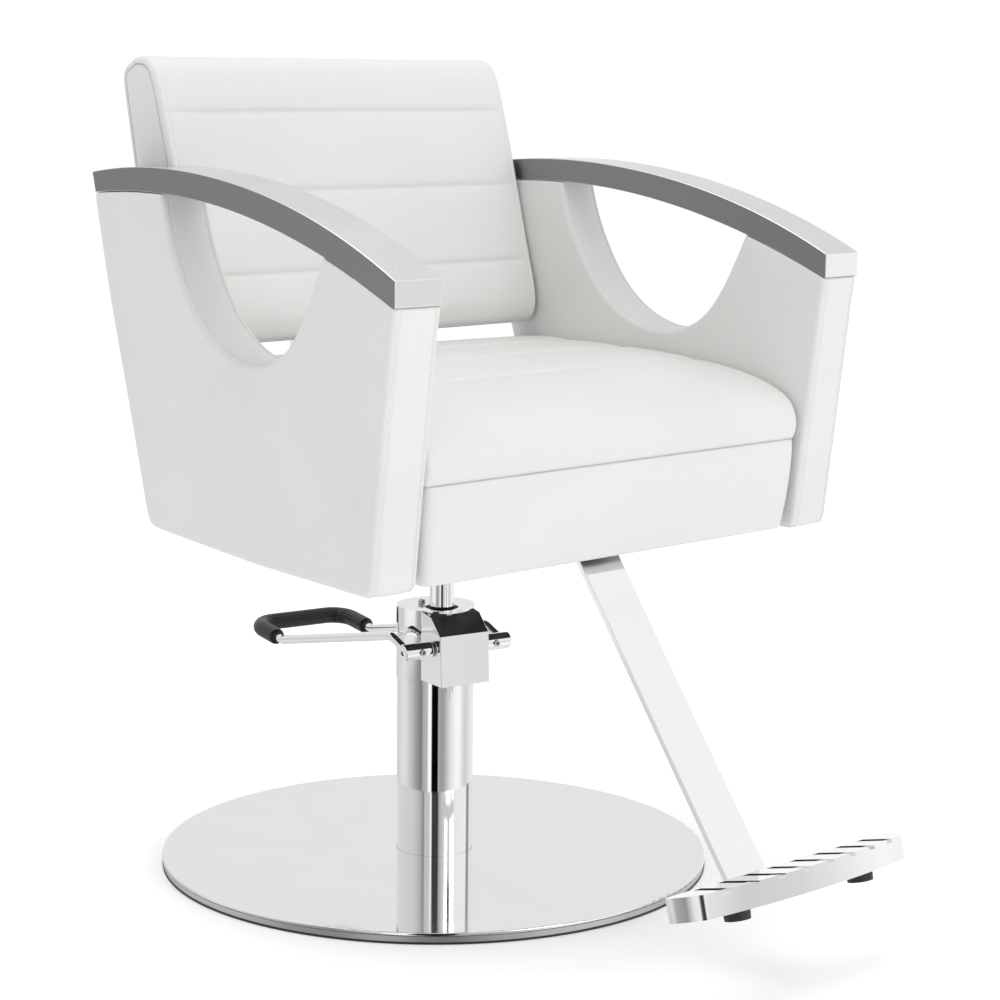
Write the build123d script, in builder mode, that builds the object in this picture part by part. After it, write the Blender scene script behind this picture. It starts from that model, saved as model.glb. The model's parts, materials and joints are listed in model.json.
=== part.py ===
"""Hydraulic salon styling chair, drawn in its lowest position (millimetres).

Origin: on the swivel axis at floor level.  +Z is up and the sitter faces -Y.
The chair is symmetric about X = 0.  The pump below it is turned a little
about the swivel axis, and the base and column stand behind that axis.
"""
import os
from math import atan, cos, degrees, radians, sin, tan
from build123d import *

os.makedirs("parts", exist_ok=True)

fit = 0.05                  # radial clearance of pins, screws and sliding fits

# ---- base and pump ---------------------------------------------------------
pump_turn = 10.0            # pump is turned this far clockwise, in degrees
column_x = 6.2              # column and base axis
column_y = 16.9
base_radius = 300.0
base_plate_top = 8.0
cover_bottom = 8.6
cover_top = 12.0
column_radius = 41.8
column_bore = 39.0
head_bottom = 205.0
head_top = 286.0
head_radius = 43.0
block_half = 31.0
rod_radius = 13.35
barrel_radius = 20.5
barrel_bore = 17.5

# ---- pump lever ------------------------------------------------------------
shaft_y = -28.7             # rocker shaft, in pump directions
shaft_z = 247.5
shaft_radius = 4.0
lever_half = 60.0
lever_rod_radius = 5.0
grip_radius = 9.5

# ---- seat, side panels and back --------------------------------------------
underside = 379.0
seam_z = 476.0
toe_in = degrees(atan(0.047))
panel_front = -297.0        # panel and armrest front face
panel_half = 327.0          # outer half width at the front
panel_thick = 57.0
seat_half = 266.0           # seat half width at the seat front
seat_front = -272.0
back_half = 240.0
back_lean = 15.5

# ---- footrest --------------------------------------------------------------
bar_half = 28.0
bar_thick = 6.0
plate_tilt = 14.0
plate_thick = 23.5
plate_half = 144.0          # half length of the tread's front edge

turn = radians(pump_turn)
pump_right = (cos(turn), -sin(turn), 0)
pump_back = (sin(turn), cos(turn), 0)
pump_front = (-sin(turn), -cos(turn), 0)


def plan(z):
    return Plane.XY.offset(z)


def pump_plan(z):
    """Level plane in pump directions: x to the pump's right, y to its back."""
    return Plane(origin=(0, 0, z), x_dir=pump_right, z_dir=(0, 0, 1))


def pump_side(offset=0.0):
    """Upright plane in pump directions: x to the pump's back, y up."""
    origin = (pump_right[0] * offset, pump_right[1] * offset, 0)
    return Plane(origin=origin, x_dir=pump_back, z_dir=pump_right)


def ring(z_low, z_high, outer, inner, centres=((0, 0),)):
    with BuildPart() as turned:
        with BuildSketch(plan(z_low)):
            with Locations(*centres):
                Circle(outer)
                if inner > 0:
                    Circle(inner, mode=Mode.SUBTRACT)
        extrude(amount=z_high - z_low)
    return turned.part


# ============================ BASE ==========================================
column = (column_x, column_y)
foot_bolt_angles = (-40, 35, 105, 180)
foot_bolt_points = [
    (column_x + 29 * cos(radians(a)), column_y + 29 * sin(radians(a))) for a in foot_bolt_angles
]

with BuildPart() as base_plate:
    with BuildSketch(plan(0)):
        with Locations(column):
            Circle(base_radius - 1)
    extrude(amount=base_plate_top)
    with BuildSketch(plan(0)):
        with Locations(column):
            Circle(base_radius - 1)
            Circle(base_radius - 9, mode=Mode.SUBTRACT)
    extrude(amount=2, mode=Mode.SUBTRACT)
    with BuildSketch(plan(0)):
        with Locations(*foot_bolt_points):
            Circle(8)
    extrude(amount=5, mode=Mode.SUBTRACT)
    with BuildSketch(plan(0)):
        with Locations(*foot_bolt_points):
            Circle(4 + fit)
    extrude(amount=base_plate_top, mode=Mode.SUBTRACT)

with BuildPart() as base_ring:
    add(ring(0, 2, base_radius - 0.4, base_radius - 8.9, [column]))

with BuildPart() as base_gasket:
    add(ring(base_plate_top, cover_bottom, base_radius - 3, column_radius + 6, [column]))

with BuildPart() as base_cover:
    add(ring(cover_bottom, cover_top, base_radius, column_radius + 0.3, [column]))
    fillet(base_cover.edges().filter_by(GeomType.CIRCLE).sort_by(SortBy.RADIUS)[-2:], 1.2)

with BuildPart() as foot_flange:
    with BuildSketch(plan(base_plate_top)):
        with Locations(column):
            Circle(column_bore - 0.1)
    extrude(amount=14)
    with BuildSketch(plan(16)):
        Circle(barrel_radius + fit)
    extrude(amount=6, mode=Mode.SUBTRACT)
    with BuildSketch(plan(base_plate_top)):
        with Locations(*foot_bolt_points):
            Circle(4 + fit)
    extrude(amount=14, mode=Mode.SUBTRACT)

with BuildPart() as foot_bolts:
    with BuildSketch(plan(0.6)):
        with Locations(*foot_bolt_points):
            Circle(6.5)
    extrude(amount=4.4)
    with BuildSketch(plan(5)):
        with Locations(*foot_bolt_points):
            Circle(4)
    extrude(amount=10.8)
    with BuildSketch(plan(0.6)):
        with Locations(*foot_bolt_points):
            RegularPolygon(3.0, 6)
    extrude(amount=2.6, mode=Mode.SUBTRACT)

with BuildPart() as column_tube:
    add(ring(base_plate_top, head_bottom + 6, column_radius, column_bore, [column]))

with BuildPart() as pump_barrel:
    add(ring(16, 240, barrel_radius, barrel_bore))
    with BuildSketch(plan(16)):
        Circle(barrel_bore)
    extrude(amount=8)

# pump head: round casting over the column with a square block in front
with BuildPart() as pump_head:
    with BuildSketch(plan(head_bottom)):
        with Locations(column):
            Circle(head_radius)
    extrude(amount=head_top - head_bottom)
    with BuildSketch(pump_side()):
        with BuildLine():
            Polyline(
                (10, 209), (-49.4, 209), (-46.6, 264), (-28.0, 282.4),
                (-6, head_top), (10, head_top), close=True,
            )
        make_face()
    extrude(amount=block_half, both=True)
    with BuildSketch(plan(head_bottom)):
        with Locations(column):
            Circle(column_radius + fit)
    extrude(amount=6 + fit, mode=Mode.SUBTRACT)
    with BuildSketch(plan(head_bottom)):
        Circle(barrel_radius + fit)
    extrude(amount=240 + fit - head_bottom, mode=Mode.SUBTRACT)
    with BuildSketch(plan(240)):
        Circle(17.5 + fit)
    extrude(amount=36, mode=Mode.SUBTRACT)
    with BuildSketch(plan(276)):
        Circle(rod_radius + 0.4)
    extrude(amount=12, mode=Mode.SUBTRACT)
    with BuildSketch(plan(279)):
        Circle(18 + fit)
    extrude(amount=9, mode=Mode.SUBTRACT)
    # crank chamber and the rocker shaft bore
    with BuildSketch(pump_plan(209)):
        with Locations((0, -33.2)):
            Rectangle(18, 22)
    extrude(amount=52, mode=Mode.SUBTRACT)
    with BuildSketch(pump_side()):
        with Locations((shaft_y, shaft_z)):
            Circle(6 + fit)
    extrude(amount=block_half + 1, both=True, mode=Mode.SUBTRACT)
    with BuildSketch(pump_plan(209)):
        with Locations((0, -36)):
            Rectangle(30, 17)
    extrude(amount=4, mode=Mode.SUBTRACT)
    with BuildSketch(pump_plan(213)):
        with Locations((-12, -36), (12, -36)):
            Circle(2 + fit)
    extrude(amount=8, mode=Mode.SUBTRACT)
    with BuildSketch(pump_plan(276)):
        with Locations((-9, 27)):
            Circle(2.5 + fit)
    extrude(amount=12, mode=Mode.SUBTRACT)
    block_edges = [
        e for e in pump_head.edges().filter_by(GeomType.LINE)
        if abs(abs(e.center().X * pump_right[0] + e.center().Y * pump_right[1]) - block_half) < 0.01
        and e.length > 10 and e.center().Z < head_top - 0.5
    ]
    fillet(block_edges, 1.2)

with BuildPart() as rod_guide:
    add(ring(240.3, 275.5, 17.5, rod_radius + fit))

with BuildPart() as wiper_seal:
    with BuildSketch(Plane.XZ):
        with BuildLine():
            Polyline(
                (rod_radius + fit, 279.3), (17, 279.3), (17, 284.8),
                (16, 286.2), (15.2, 287.2), (rod_radius + fit, 288), close=True,
            )
        make_face()
    revolve(axis=Axis.Z)

with BuildPart() as bleed_screw:
    with BuildSketch(pump_plan(277)):
        with Locations((-9, 27)):
            Circle(2.5)
    extrude(amount=9.1)
    with BuildSketch(pump_plan(head_top + 0.1)):
        with Locations((-9, 27)):
            Circle(4)
    extrude(amount=4)
    with BuildSketch(pump_plan(head_top + 2.6)):
        with Locations((-9, 27)):
            RegularPolygon(2, 6)
    extrude(amount=2, mode=Mode.SUBTRACT)

with BuildPart() as shaft_bushes:
    for side in (-1, 1):
        with BuildSketch(pump_side(side * 18)):
            with Locations((shaft_y, shaft_z)):
                Circle(6)
                Circle(shaft_radius + fit, mode=Mode.SUBTRACT)
        extrude(amount=side * 13.1)
        with BuildSketch(pump_side(side * 31.1)):
            with Locations((shaft_y, shaft_z)):
                Circle(8)
                Circle(shaft_radius + fit, mode=Mode.SUBTRACT)
        extrude(amount=side * 1)

with BuildPart() as valve_cover:
    with BuildSketch(pump_plan(209)):
        with Locations((0, -36)):
            Rectangle(29.8, 16.8)
    extrude(amount=4)
    with BuildSketch(pump_plan(213)):
        with Locations((0, -38.6)):
            Circle(5.2)
    extrude(amount=13)
    with BuildSketch(pump_plan(211)):
        with Locations((0, -38.6)):
            Circle(3.5 + fit)
    extrude(amount=15, mode=Mode.SUBTRACT)
    with BuildSketch(pump_plan(209)):
        with Locations((-12, -36), (12, -36)):
            Circle(2 + fit)
    extrude(amount=4, mode=Mode.SUBTRACT)
    with BuildSketch(pump_plan(209)):
        with Locations((-12, -36), (12, -36)):
            Circle(2.6)
    extrude(amount=1.6, mode=Mode.SUBTRACT)

with BuildPart() as cover_screws:
    with BuildSketch(pump_plan(209.2)):
        with Locations((-12, -36), (12, -36)):
            Circle(2.5)
    extrude(amount=1.4)
    with BuildSketch(pump_plan(210.6)):
        with Locations((-12, -36), (12, -36)):
            Circle(2)
    extrude(amount=10)

with BuildPart() as return_spring:
    for side in (-1, 1):
        with BuildSketch(pump_side(side * 6.2)):
            with Locations((shaft_y, shaft_z)):
                Circle(5.9)
                Circle(4.7, mode=Mode.SUBTRACT)
        extrude(amount=side * 2.2)

# ============================ PUMP LEVER ====================================
with BuildPart() as rocker_shaft:
    with BuildSketch(pump_side()):
        with Locations((shaft_y, shaft_z)):
            Circle(shaft_radius)
    extrude(amount=54, both=True)

crank_reach = 8.5
with BuildPart() as crank:
    with BuildSketch(pump_side()):
        with Locations((shaft_y, shaft_z)):
            Circle(6)
        with Locations((shaft_y - crank_reach, shaft_z)):
            Circle(3.5)
        with Locations((shaft_y - crank_reach / 2, shaft_z)):
            Rectangle(crank_reach, 5)
        with Locations((shaft_y, shaft_z)):
            Circle(shaft_radius + fit, mode=Mode.SUBTRACT)
    extrude(amount=4, both=True)

with BuildPart() as pump_plunger:
    with BuildSketch(pump_plan(212)):
        with Locations((0, -38.6)):
            Circle(3.5)
    extrude(amount=26.5)
    with BuildSketch(pump_side()):
        with Locations((-39.6, 247.25)):
            Rectangle(7.6, 18.5)
        with Locations((-38.0, shaft_z)):
            Rectangle(7.2, 8.0, mode=Mode.SUBTRACT)
    extrude(amount=4.6, both=True)


def lever_path(inset=0.0):
    """Bent bar: hub, crest over the hub, long drop to the back, raised end."""
    start = Vector(-lever_half, -26.0, 248.3)
    crest = Vector(-lever_half, 6.0, 259.5)
    dip = Vector(-lever_half, 252.0, 208.2)
    end_left = Vector(-lever_half, 322.0, 214.2)
    points = [start, crest, dip, end_left]
    mirrored = [Vector(-p.X, p.Y, p.Z) for p in reversed(points)]
    corners = points + mirrored
    return corners


def turned(point):
    """A point given in pump directions, in the chair's own frame."""
    return (
        point.X * pump_right[0] + point.Y * pump_back[0],
        point.X * pump_right[1] + point.Y * pump_back[1],
        point.Z,
    )


lever_corners = [turned(p) for p in lever_path()]

with BuildPart() as lever_rod:
    with BuildLine() as rod_line:
        FilletPolyline(*lever_corners, radius=24)
    with BuildSketch(Plane(origin=rod_line.line @ 0, z_dir=rod_line.line % 0)):
        Circle(lever_rod_radius)
    sweep()

grip_start = Vector(-lever_half, 252.0, 208.2) + Vector(0, 70, 6).normalized() * 13
grip_corners = [turned(grip_start)] + lever_corners[3:5]
grip_corners = grip_corners + [turned(Vector(-grip_start.X, grip_start.Y, grip_start.Z))]

with BuildPart() as lever_grip:
    with BuildLine() as grip_line:
        FilletPolyline(*grip_corners, radius=24)
    with BuildSketch(Plane(origin=grip_line.line @ 0, z_dir=grip_line.line % 0)):
        Circle(grip_radius)
        Circle(lever_rod_radius + fit, mode=Mode.SUBTRACT)
    sweep()


def hub(side):
    with BuildPart() as boss:
        with BuildSketch(pump_side(side * 32.6)):
            with Locations((shaft_y, shaft_z)):
                Circle(9.2)
        extrude(amount=side * 34.4)
        fillet(boss.edges().filter_by(GeomType.CIRCLE), 1.5)
        with BuildSketch(pump_side(side * 32.6)):
            with Locations((shaft_y, shaft_z)):
                Circle(shaft_radius + fit)
        extrude(amount=side * 21.6, mode=Mode.SUBTRACT)
        with BuildSketch(pump_side(side * 67)):
            with Locations((shaft_y, shaft_z)):
                Circle(3.2)
        extrude(amount=-side * 1.2, mode=Mode.SUBTRACT)
        bore_start = Vector(side * lever_half, -26.0, 248.3)
        bore_way = (Vector(0, 6.0, 259.5) - Vector(0, -26.0, 248.3)).normalized()
        bore_plane = Plane(origin=turned(bore_start - bore_way * 0.1), z_dir=turned(bore_way))
        with BuildSketch(bore_plane):
            Circle(lever_rod_radius + fit)
        extrude(amount=30, mode=Mode.SUBTRACT)
        screw_plane = Plane(
            origin=turned(Vector(side * 47, shaft_y, shaft_z)), z_dir=pump_front
        )
        with BuildSketch(screw_plane):
            Circle(3.5 + fit)
        extrude(amount=12, mode=Mode.SUBTRACT)
    return boss.part


with BuildPart() as lever_hub_left:
    add(hub(1))

with BuildPart() as lever_hub_right:
    add(hub(-1))

with BuildPart() as hub_screws:
    for side in (-1, 1):
        start = turned(Vector(side * 47, shaft_y, shaft_z))
        with BuildSketch(Plane(origin=start, z_dir=pump_front).offset(shaft_radius + fit)):
            Circle(3.5)
        extrude(amount=7.2)
        with BuildSketch(Plane(origin=start, z_dir=pump_front).offset(8.2)):
            RegularPolygon(2.0, 6)
        extrude(amount=4, mode=Mode.SUBTRACT)

# ============================ PISTON ========================================
spigot_z = 346.0
with BuildPart() as piston_rod:
    with BuildSketch(plan(50)):
        Circle(8)
    extrude(amount=20)
    with BuildSketch(plan(37)):
        Circle(6)
    extrude(amount=13)
    with BuildSketch(plan(70)):
        Circle(rod_radius)
    extrude(amount=spigot_z - 70)
    with BuildSketch(plan(spigot_z)):
        Circle(11.5)
    extrude(amount=424 - spigot_z)

with BuildPart() as piston_head:
    add(ring(50, 70, barrel_bore - fit, 8 + fit))
    add(ring(57, 62, barrel_bore + 1, barrel_bore - 3), mode=Mode.SUBTRACT)

with BuildPart() as piston_seal:
    add(ring(57.1, 61.9, barrel_bore - 0.02, barrel_bore - 2.95))

with BuildPart() as piston_nut:
    with BuildSketch(plan(39)):
        RegularPolygon(10.5, 6)
        Circle(6 + fit, mode=Mode.SUBTRACT)
    extrude(amount=11)

with BuildPart() as thrust_washer:
    add(ring(spigot_z, spigot_z + 2, 14.5, 11.5 + fit))

# ============================ SEAT MOUNT ====================================
with BuildPart() as swivel_socket:
    with BuildSketch(Plane.XZ):
        with BuildLine():
            Polyline(
                (rod_radius + 0.6, 324), (22, 324), (25, 332), (28, 422), (50, 422),
                (50, 430), (15 + fit, 430), (15 + fit, spigot_z + 2.3),
                (rod_radius + 0.6 + 1.2, spigot_z + 2.3), (rod_radius + 0.6 + 1.2, 345),
                (rod_radius + 0.6, 343), close=True,
            )
        make_face()
    revolve(axis=Axis.Z)
    with BuildSketch(plan(422)):
        with PolarLocations(39, 4, 45):
            Circle(4 + fit)
    extrude(amount=8, mode=Mode.SUBTRACT)

with BuildPart() as swivel_bush:
    add(ring(spigot_z + 2.4, 429.5, 15, 11.5 + fit))

with BuildPart() as mount_plate:
    with BuildSketch(plan(430)):
        RectangleRounded(210, 170, 8)
        with PolarLocations(39, 4, 45):
            Circle(4 + fit, mode=Mode.SUBTRACT)
        with GridLocations(170, 120, 2, 2):
            Circle(4 + fit, mode=Mode.SUBTRACT)
    extrude(amount=6)

with BuildPart() as socket_bolts:
    with BuildSketch(plan(416.5)):
        with PolarLocations(39, 4, 45):
            RegularPolygon(7, 6)
    extrude(amount=5.5)
    with BuildSketch(plan(422)):
        with PolarLocations(39, 4, 45):
            Circle(4)
    extrude(amount=19)

with BuildPart() as socket_nuts:
    with BuildSketch(plan(436)):
        with PolarLocations(39, 4, 45):
            RegularPolygon(7, 6)
            Circle(4 + fit, mode=Mode.SUBTRACT)
    extrude(amount=6)

tab_bolt_points = [(-16, -172), (16, -172)]
upright_x = 55.0
upright_bolt_points = [(-upright_x, 122), (upright_x, 122), (-upright_x, 141), (upright_x, 141)]

with BuildPart() as seat_frame:
    with BuildSketch(plan(436)):
        with Locations((-85, -37.5), (85, -37.5)):
            Rectangle(30, 375)
        with Locations((0, -190)):
            Rectangle(200, 70)
        with Locations((0, 130)):
            Rectangle(200, 40)
        with GridLocations(170, 120, 2, 2):
            Circle(4 + fit, mode=Mode.SUBTRACT)
        with Locations(*tab_bolt_points):
            Circle(4 + fit, mode=Mode.SUBTRACT)
        with Locations(*upright_bolt_points):
            Circle(3 + fit, mode=Mode.SUBTRACT)
        with GridLocations(170, 300, 2, 2):
            with Locations((0, -32)):
                Circle(3 + fit, mode=Mode.SUBTRACT)
    extrude(amount=23)

with BuildPart() as frame_bolts:
    with BuildSketch(plan(424.5)):
        with GridLocations(170, 120, 2, 2):
            RegularPolygon(7, 6)
    extrude(amount=5.5)
    with BuildSketch(plan(430)):
        with GridLocations(170, 120, 2, 2):
            Circle(4)
    extrude(amount=26)

# ============================ SIDE PANEL LAYOUT =============================
side_turn = radians(toe_in)
side_out = (cos(side_turn), sin(side_turn), 0)
side_back = (-sin(side_turn), cos(side_turn), 0)


def side_plane(depth):
    """Plane parallel to the left panel, `depth` inside its outer face."""
    origin = (
        panel_half - depth * side_out[0], panel_front - depth * side_out[1], 0,
    )
    return Plane(origin=origin, x_dir=side_back, z_dir=side_out)


def at(y, z):
    """Side view point (Y, Z) laid out along the turned panel."""
    return ((y - panel_front) / cos(side_turn), z)


panel_bolt_spots = [(-200, 425), (-60, 425), (70, 430)]
arm_stud_spots = [(-240, 671), (150, 735)]


def stud_plane(y, z):
    """Level plane whose origin is mid-thickness in the left panel at (y, z)."""
    mid = panel_half - panel_thick / 2 / cos(side_turn) - (y - panel_front) * tan(side_turn)
    return Plane(origin=(mid, y, z), z_dir=(0, 0, 1))


with BuildPart() as side_bores:
    with BuildSketch(side_plane(95)):
        with Locations(*[at(y, z) for y, z in panel_bolt_spots]):
            Circle(4 + fit)
    extrude(amount=72)
    mirror(about=Plane.YZ)

# ============================ SEAT ==========================================


def seat_plan(shrink, front, back):
    """Seat outline seen from above, narrowing with the side panels."""
    half_front = seat_half - shrink
    slope = tan(radians(toe_in))
    half_back = half_front - slope * (back - seat_front)
    half_near = half_front - slope * (front - seat_front)
    with BuildSketch() as outline:
        with BuildLine():
            Polyline(
                (-half_near, front), (half_near, front),
                (half_back, back), (-half_back, back), close=True,
            )
        make_face()
    return outline.sketch


with BuildPart() as seat_box:
    with BuildSketch(Plane.YZ):
        with BuildLine():
            Polyline((-256, underside), (seat_front, seam_z), (172, seam_z), (166, 391), close=True)
        make_face()
    extrude(amount=300, both=True)
    with BuildSketch(plan(underside - 5)):
        add(seat_plan(1.5, -280, 180))
    extrude(amount=120, mode=Mode.INTERSECT)
    lower_edges = [
        e for e in seat_box.edges()
        if abs(e.center().X) > 200 and e.length > 60 and abs(e.center().Y + 264) < 9
    ]
    fillet(lower_edges, 9)
    with BuildSketch(plan(underside - 5)):
        add(seat_plan(14, -243, 152))
    extrude(amount=120, mode=Mode.SUBTRACT)
    with BuildSketch(plan(427.5)):
        with Locations((-upright_x, 165), (upright_x, 165)):
            Rectangle(31, 30)
    extrude(amount=9, mode=Mode.SUBTRACT)
    add(side_bores.part, mode=Mode.SUBTRACT)

with BuildPart() as seat_deck:
    with BuildSketch(plan(459)):
        add(seat_plan(14.4, -242.6, 151.6))
        with GridLocations(170, 300, 2, 2):
            with Locations((0, -32)):
                Circle(3 + fit, mode=Mode.SUBTRACT)
    extrude(amount=17)

with BuildPart() as deck_screws:
    with BuildSketch(plan(431.5)):
        with GridLocations(170, 300, 2, 2):
            with Locations((0, -32)):
                RegularPolygon(5.5, 6)
    extrude(amount=4.5)
    with BuildSketch(plan(436)):
        with GridLocations(170, 300, 2, 2):
            with Locations((0, -32)):
                Circle(3)
    extrude(amount=36)

with BuildPart() as seat_cushion:
    with BuildSketch(Plane.YZ):
        with BuildLine():
            Spline(
                (-268.5, seam_z), (-274, 499), (-265, 518), (-243, 531), (-207, 541),
                (-141, 550.5), (-50, 556), (60, 558), (122, 556), (152, 545), (164, 520),
            )
            Polyline((164, 520), (169, seam_z), (-268.5, seam_z))
        make_face()
    extrude(amount=300, both=True)
    with BuildSketch(plan(seam_z - 5)):
        add(seat_plan(1.0, -285, 180))
    extrude(amount=120, mode=Mode.INTERSECT)
    top_edges = [
        e for e in seat_cushion.edges()
        if abs(e.center().X) > 200 and e.center().Z > seam_z + 20 and e.length > 40
    ]
    fillet(top_edges, 12)

with BuildPart() as dust_cover:
    with BuildSketch(plan(underside + 13)):
        add(seat_plan(14.4, -242.6, 151.6))
        Circle(30, mode=Mode.SUBTRACT)
        with Locations((0, -222)):
            Rectangle(2 * bar_half + 3, 20, mode=Mode.SUBTRACT)
    extrude(amount=1.5)

# ============================ SIDE PANELS AND ARMRESTS ======================
arm_low = [at(-297, 649.2), at(-145, 703.0), at(7, 732.0), at(100, 737.6), at(205.5, 733.6)]
arm_high = [at(-297, 675.3), at(-145, 731.7), at(7, 758.6), at(100, 763.0), at(211, 754.6)]

with BuildPart() as armrest_left:
    with BuildSketch(side_plane(panel_thick - 0.5)):
        with BuildLine():
            Spline(*arm_low)
            Line(arm_low[-1], arm_high[-1])
            Spline(*reversed(arm_high))
            Line(arm_high[0], arm_low[0])
        make_face()
    extrude(amount=panel_thick - 1)
    fillet(armrest_left.edges(), 1.2)
    for y, z in arm_stud_spots:
        with BuildSketch(stud_plane(y, z - 30)):
            Circle(4 + fit)
        extrude(amount=44.3, mode=Mode.SUBTRACT)

# the panels end a hair below the armrests that stand on them
panel_top = [(along, height - 0.3) for along, height in arm_low]

with BuildPart() as panel_left:
    with BuildSketch(side_plane(panel_thick)):
        with BuildLine():
            Spline(*panel_top)
            Polyline(
                panel_top[-1], at(178.9, 631.7), at(143.6, 510.0), at(112.6, 396.8),
                at(-70, 385.2), at(-256.5, 379.5), panel_top[0],
            )
        make_face()
    extrude(amount=panel_thick)
    # the open arch under the armrest
    with BuildSketch(side_plane(panel_thick + 5)):
        with BuildLine():
            Spline(
                at(88, 760), at(82, 735), at(69.5, 695), at(49, 655), at(24, 621),
                at(-9, 595), at(-46, 580.5), at(-70, 578), at(-93, 580.5), at(-115.5, 589),
                at(-140, 609), at(-159, 636), at(-175, 666), at(-187, 691), at(-200, 725),
            )
            Line(at(-200, 725), at(88, 760))
        make_face()
    extrude(amount=panel_thick + 10, mode=Mode.SUBTRACT)
    soft_edges = [e for e in panel_left.edges() if e.length > 90 and e.center().Z < 720]
    fillet(soft_edges, 7)
    # pocket for the plywood core, open at the bottom, and the fixing holes
    with BuildSketch(side_plane(37.3)):
        with BuildLine():
            Polyline(at(-238.4, 360), at(-238.4, 560.4), at(118.4, 560.4), at(84.4, 360), close=True)
        make_face()
    extrude(amount=15.6, mode=Mode.SUBTRACT)
    add(side_bores.part, mode=Mode.SUBTRACT)
    for y, z in arm_stud_spots:
        with BuildSketch(stud_plane(y, z - 30)):
            Circle(4 + fit)
        extrude(amount=60, mode=Mode.SUBTRACT)

with BuildPart() as arm_studs:
    for y, z in arm_stud_spots:
        with BuildSketch(stud_plane(y, z - 25)):
            Circle(4)
        extrude(amount=39)
    mirror(about=Plane.YZ)

with BuildPart() as panel_core_left:
    with BuildSketch(side_plane(37)):
        with BuildLine():
            Polyline(at(-238, 384), at(-238, 560), at(118, 560), at(86.5, 398), close=True)
        make_face()
        with Locations(*[at(y, z) for y, z in panel_bolt_spots]):
            Circle(4 + fit, mode=Mode.SUBTRACT)
    extrude(amount=15)

with BuildPart() as panel_bolts:
    with BuildSketch(side_plane(81.2)):
        with Locations(*[at(y, z) for y, z in panel_bolt_spots]):
            RegularPolygon(7, 6)
    extrude(amount=5.4)
    with BuildSketch(side_plane(75.8)):
        with Locations(*[at(y, z) for y, z in panel_bolt_spots]):
            Circle(4)
    extrude(amount=51)
    mirror(about=Plane.YZ)

with BuildPart() as panel_right:
    add(mirror(panel_left.part, about=Plane.YZ))

with BuildPart() as panel_core_right:
    add(mirror(panel_core_left.part, about=Plane.YZ))

with BuildPart() as armrest_right:
    add(mirror(armrest_left.part, about=Plane.YZ))

# ============================ BACK ==========================================


def flat_bar(line, thick):
    """Closed outline of a bent flat bar with square ends, from its centre line."""
    left = []
    right = []
    for i, (y, z) in enumerate(line):
        before = line[max(i - 1, 0)]
        after = line[min(i + 1, len(line) - 1)]
        first = Vector(y - before[0], z - before[1]) if i > 0 else Vector(after[0] - y, after[1] - z)
        second = Vector(after[0] - y, after[1] - z) if i < len(line) - 1 else first
        first = first.normalized()
        second = second.normalized()
        normal = Vector(-(first.Y + second.Y), first.X + second.X).normalized()
        reach = thick / 2 / max(0.2, normal.dot(Vector(-first.Y, first.X)))
        left.append((y + normal.X * reach, z + normal.Y * reach))
        right.append((y - normal.X * reach, z - normal.Y * reach))
    return left + right[::-1]


upright_line = [(116, 432), (181, 432), (169.8, 582), (202.6, 738)]
footrest_line = [(-152, 433), (-192.8, 433), (-447.5, 85.5), (-461.1, 80.5), (-519.3, 95)]

with BuildPart() as back_cushion:
    with BuildSketch(Plane.YZ):
        with BuildLine():
            Spline(
                (150, 573), (128, 573), (113, 581), (109.5, 602), (119.6, 646.8), (142.5, 732.4),
                (166, 816.5), (178, 852), (187, 867), (200, 873.5), (214, 870), (222, 860),
            )
            Polyline((222, 860), (164, 580), (150, 573))
        make_face()
    extrude(amount=back_half, both=True)
    with BuildSketch(Plane.YZ):
        with BuildLine():
            Polyline((219.5, 848), (167.7, 598), (155.5, 600.5), (207.3, 850.5), close=True)
        make_face()
    extrude(amount=212, both=True, mode=Mode.SUBTRACT)

with BuildPart() as back_board:
    with BuildSketch(Plane.YZ):
        with BuildLine():
            Polyline((218.9, 847.5), (167.4, 599), (156.2, 601.3), (207.7, 849.8), close=True)
        make_face()
    extrude(amount=211.5, both=True)

with BuildPart() as back_cover:
    with BuildSketch(Plane.YZ):
        with BuildLine():
            Polyline(
                (222.4, 860), (228, 863), (234, 860), (236.4, 852), (217.5, 761), (180, 592),
                (173, 582), (164.4, 580), close=True,
            )
        make_face()
    extrude(amount=back_half, both=True)
    for side in (-1, 1):
        with BuildSketch(Plane.YZ.offset(side * upright_x)):
            Polygon(*flat_bar([(181, 432), (169.8, 582), (203.0, 740)], 9), align=None)
        extrude(amount=15.5, both=True, mode=Mode.SUBTRACT)

with BuildPart() as back_uprights:
    for side in (-1, 1):
        with BuildSketch(Plane.YZ.offset(side * upright_x)):
            Polygon(*flat_bar(upright_line, 8), align=None)
        extrude(amount=15, both=True)
    with BuildSketch(plan(428)):
        with Locations(*upright_bolt_points):
            Circle(3 + fit)
    extrude(amount=8, mode=Mode.SUBTRACT)

with BuildPart() as upright_bolts:
    with BuildSketch(plan(423.5)):
        with Locations(*upright_bolt_points):
            RegularPolygon(5.5, 6)
    extrude(amount=4.5)
    with BuildSketch(plan(428)):
        with Locations(*upright_bolt_points):
            Circle(3)
    extrude(amount=28)

# ============================ FOOTREST ======================================
with BuildPart() as footrest_bar:
    with BuildSketch(Plane.YZ):
        Polygon(*flat_bar(footrest_line, bar_thick), align=None)
    extrude(amount=bar_half, both=True)
    long_edges = [e for e in footrest_bar.edges() if e.length > 300]
    fillet(long_edges, 1)
    with BuildSketch(plan(429)):
        with Locations(*tab_bolt_points):
            Circle(4 + fit)
    extrude(amount=8, mode=Mode.SUBTRACT)

with BuildPart() as footrest_bolts:
    with BuildSketch(plan(424.5)):
        with Locations(*tab_bolt_points):
            RegularPolygon(7, 6)
    extrude(amount=5.5)
    with BuildSketch(plan(430)):
        with Locations(*tab_bolt_points):
            Circle(4)
    extrude(amount=26)

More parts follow.
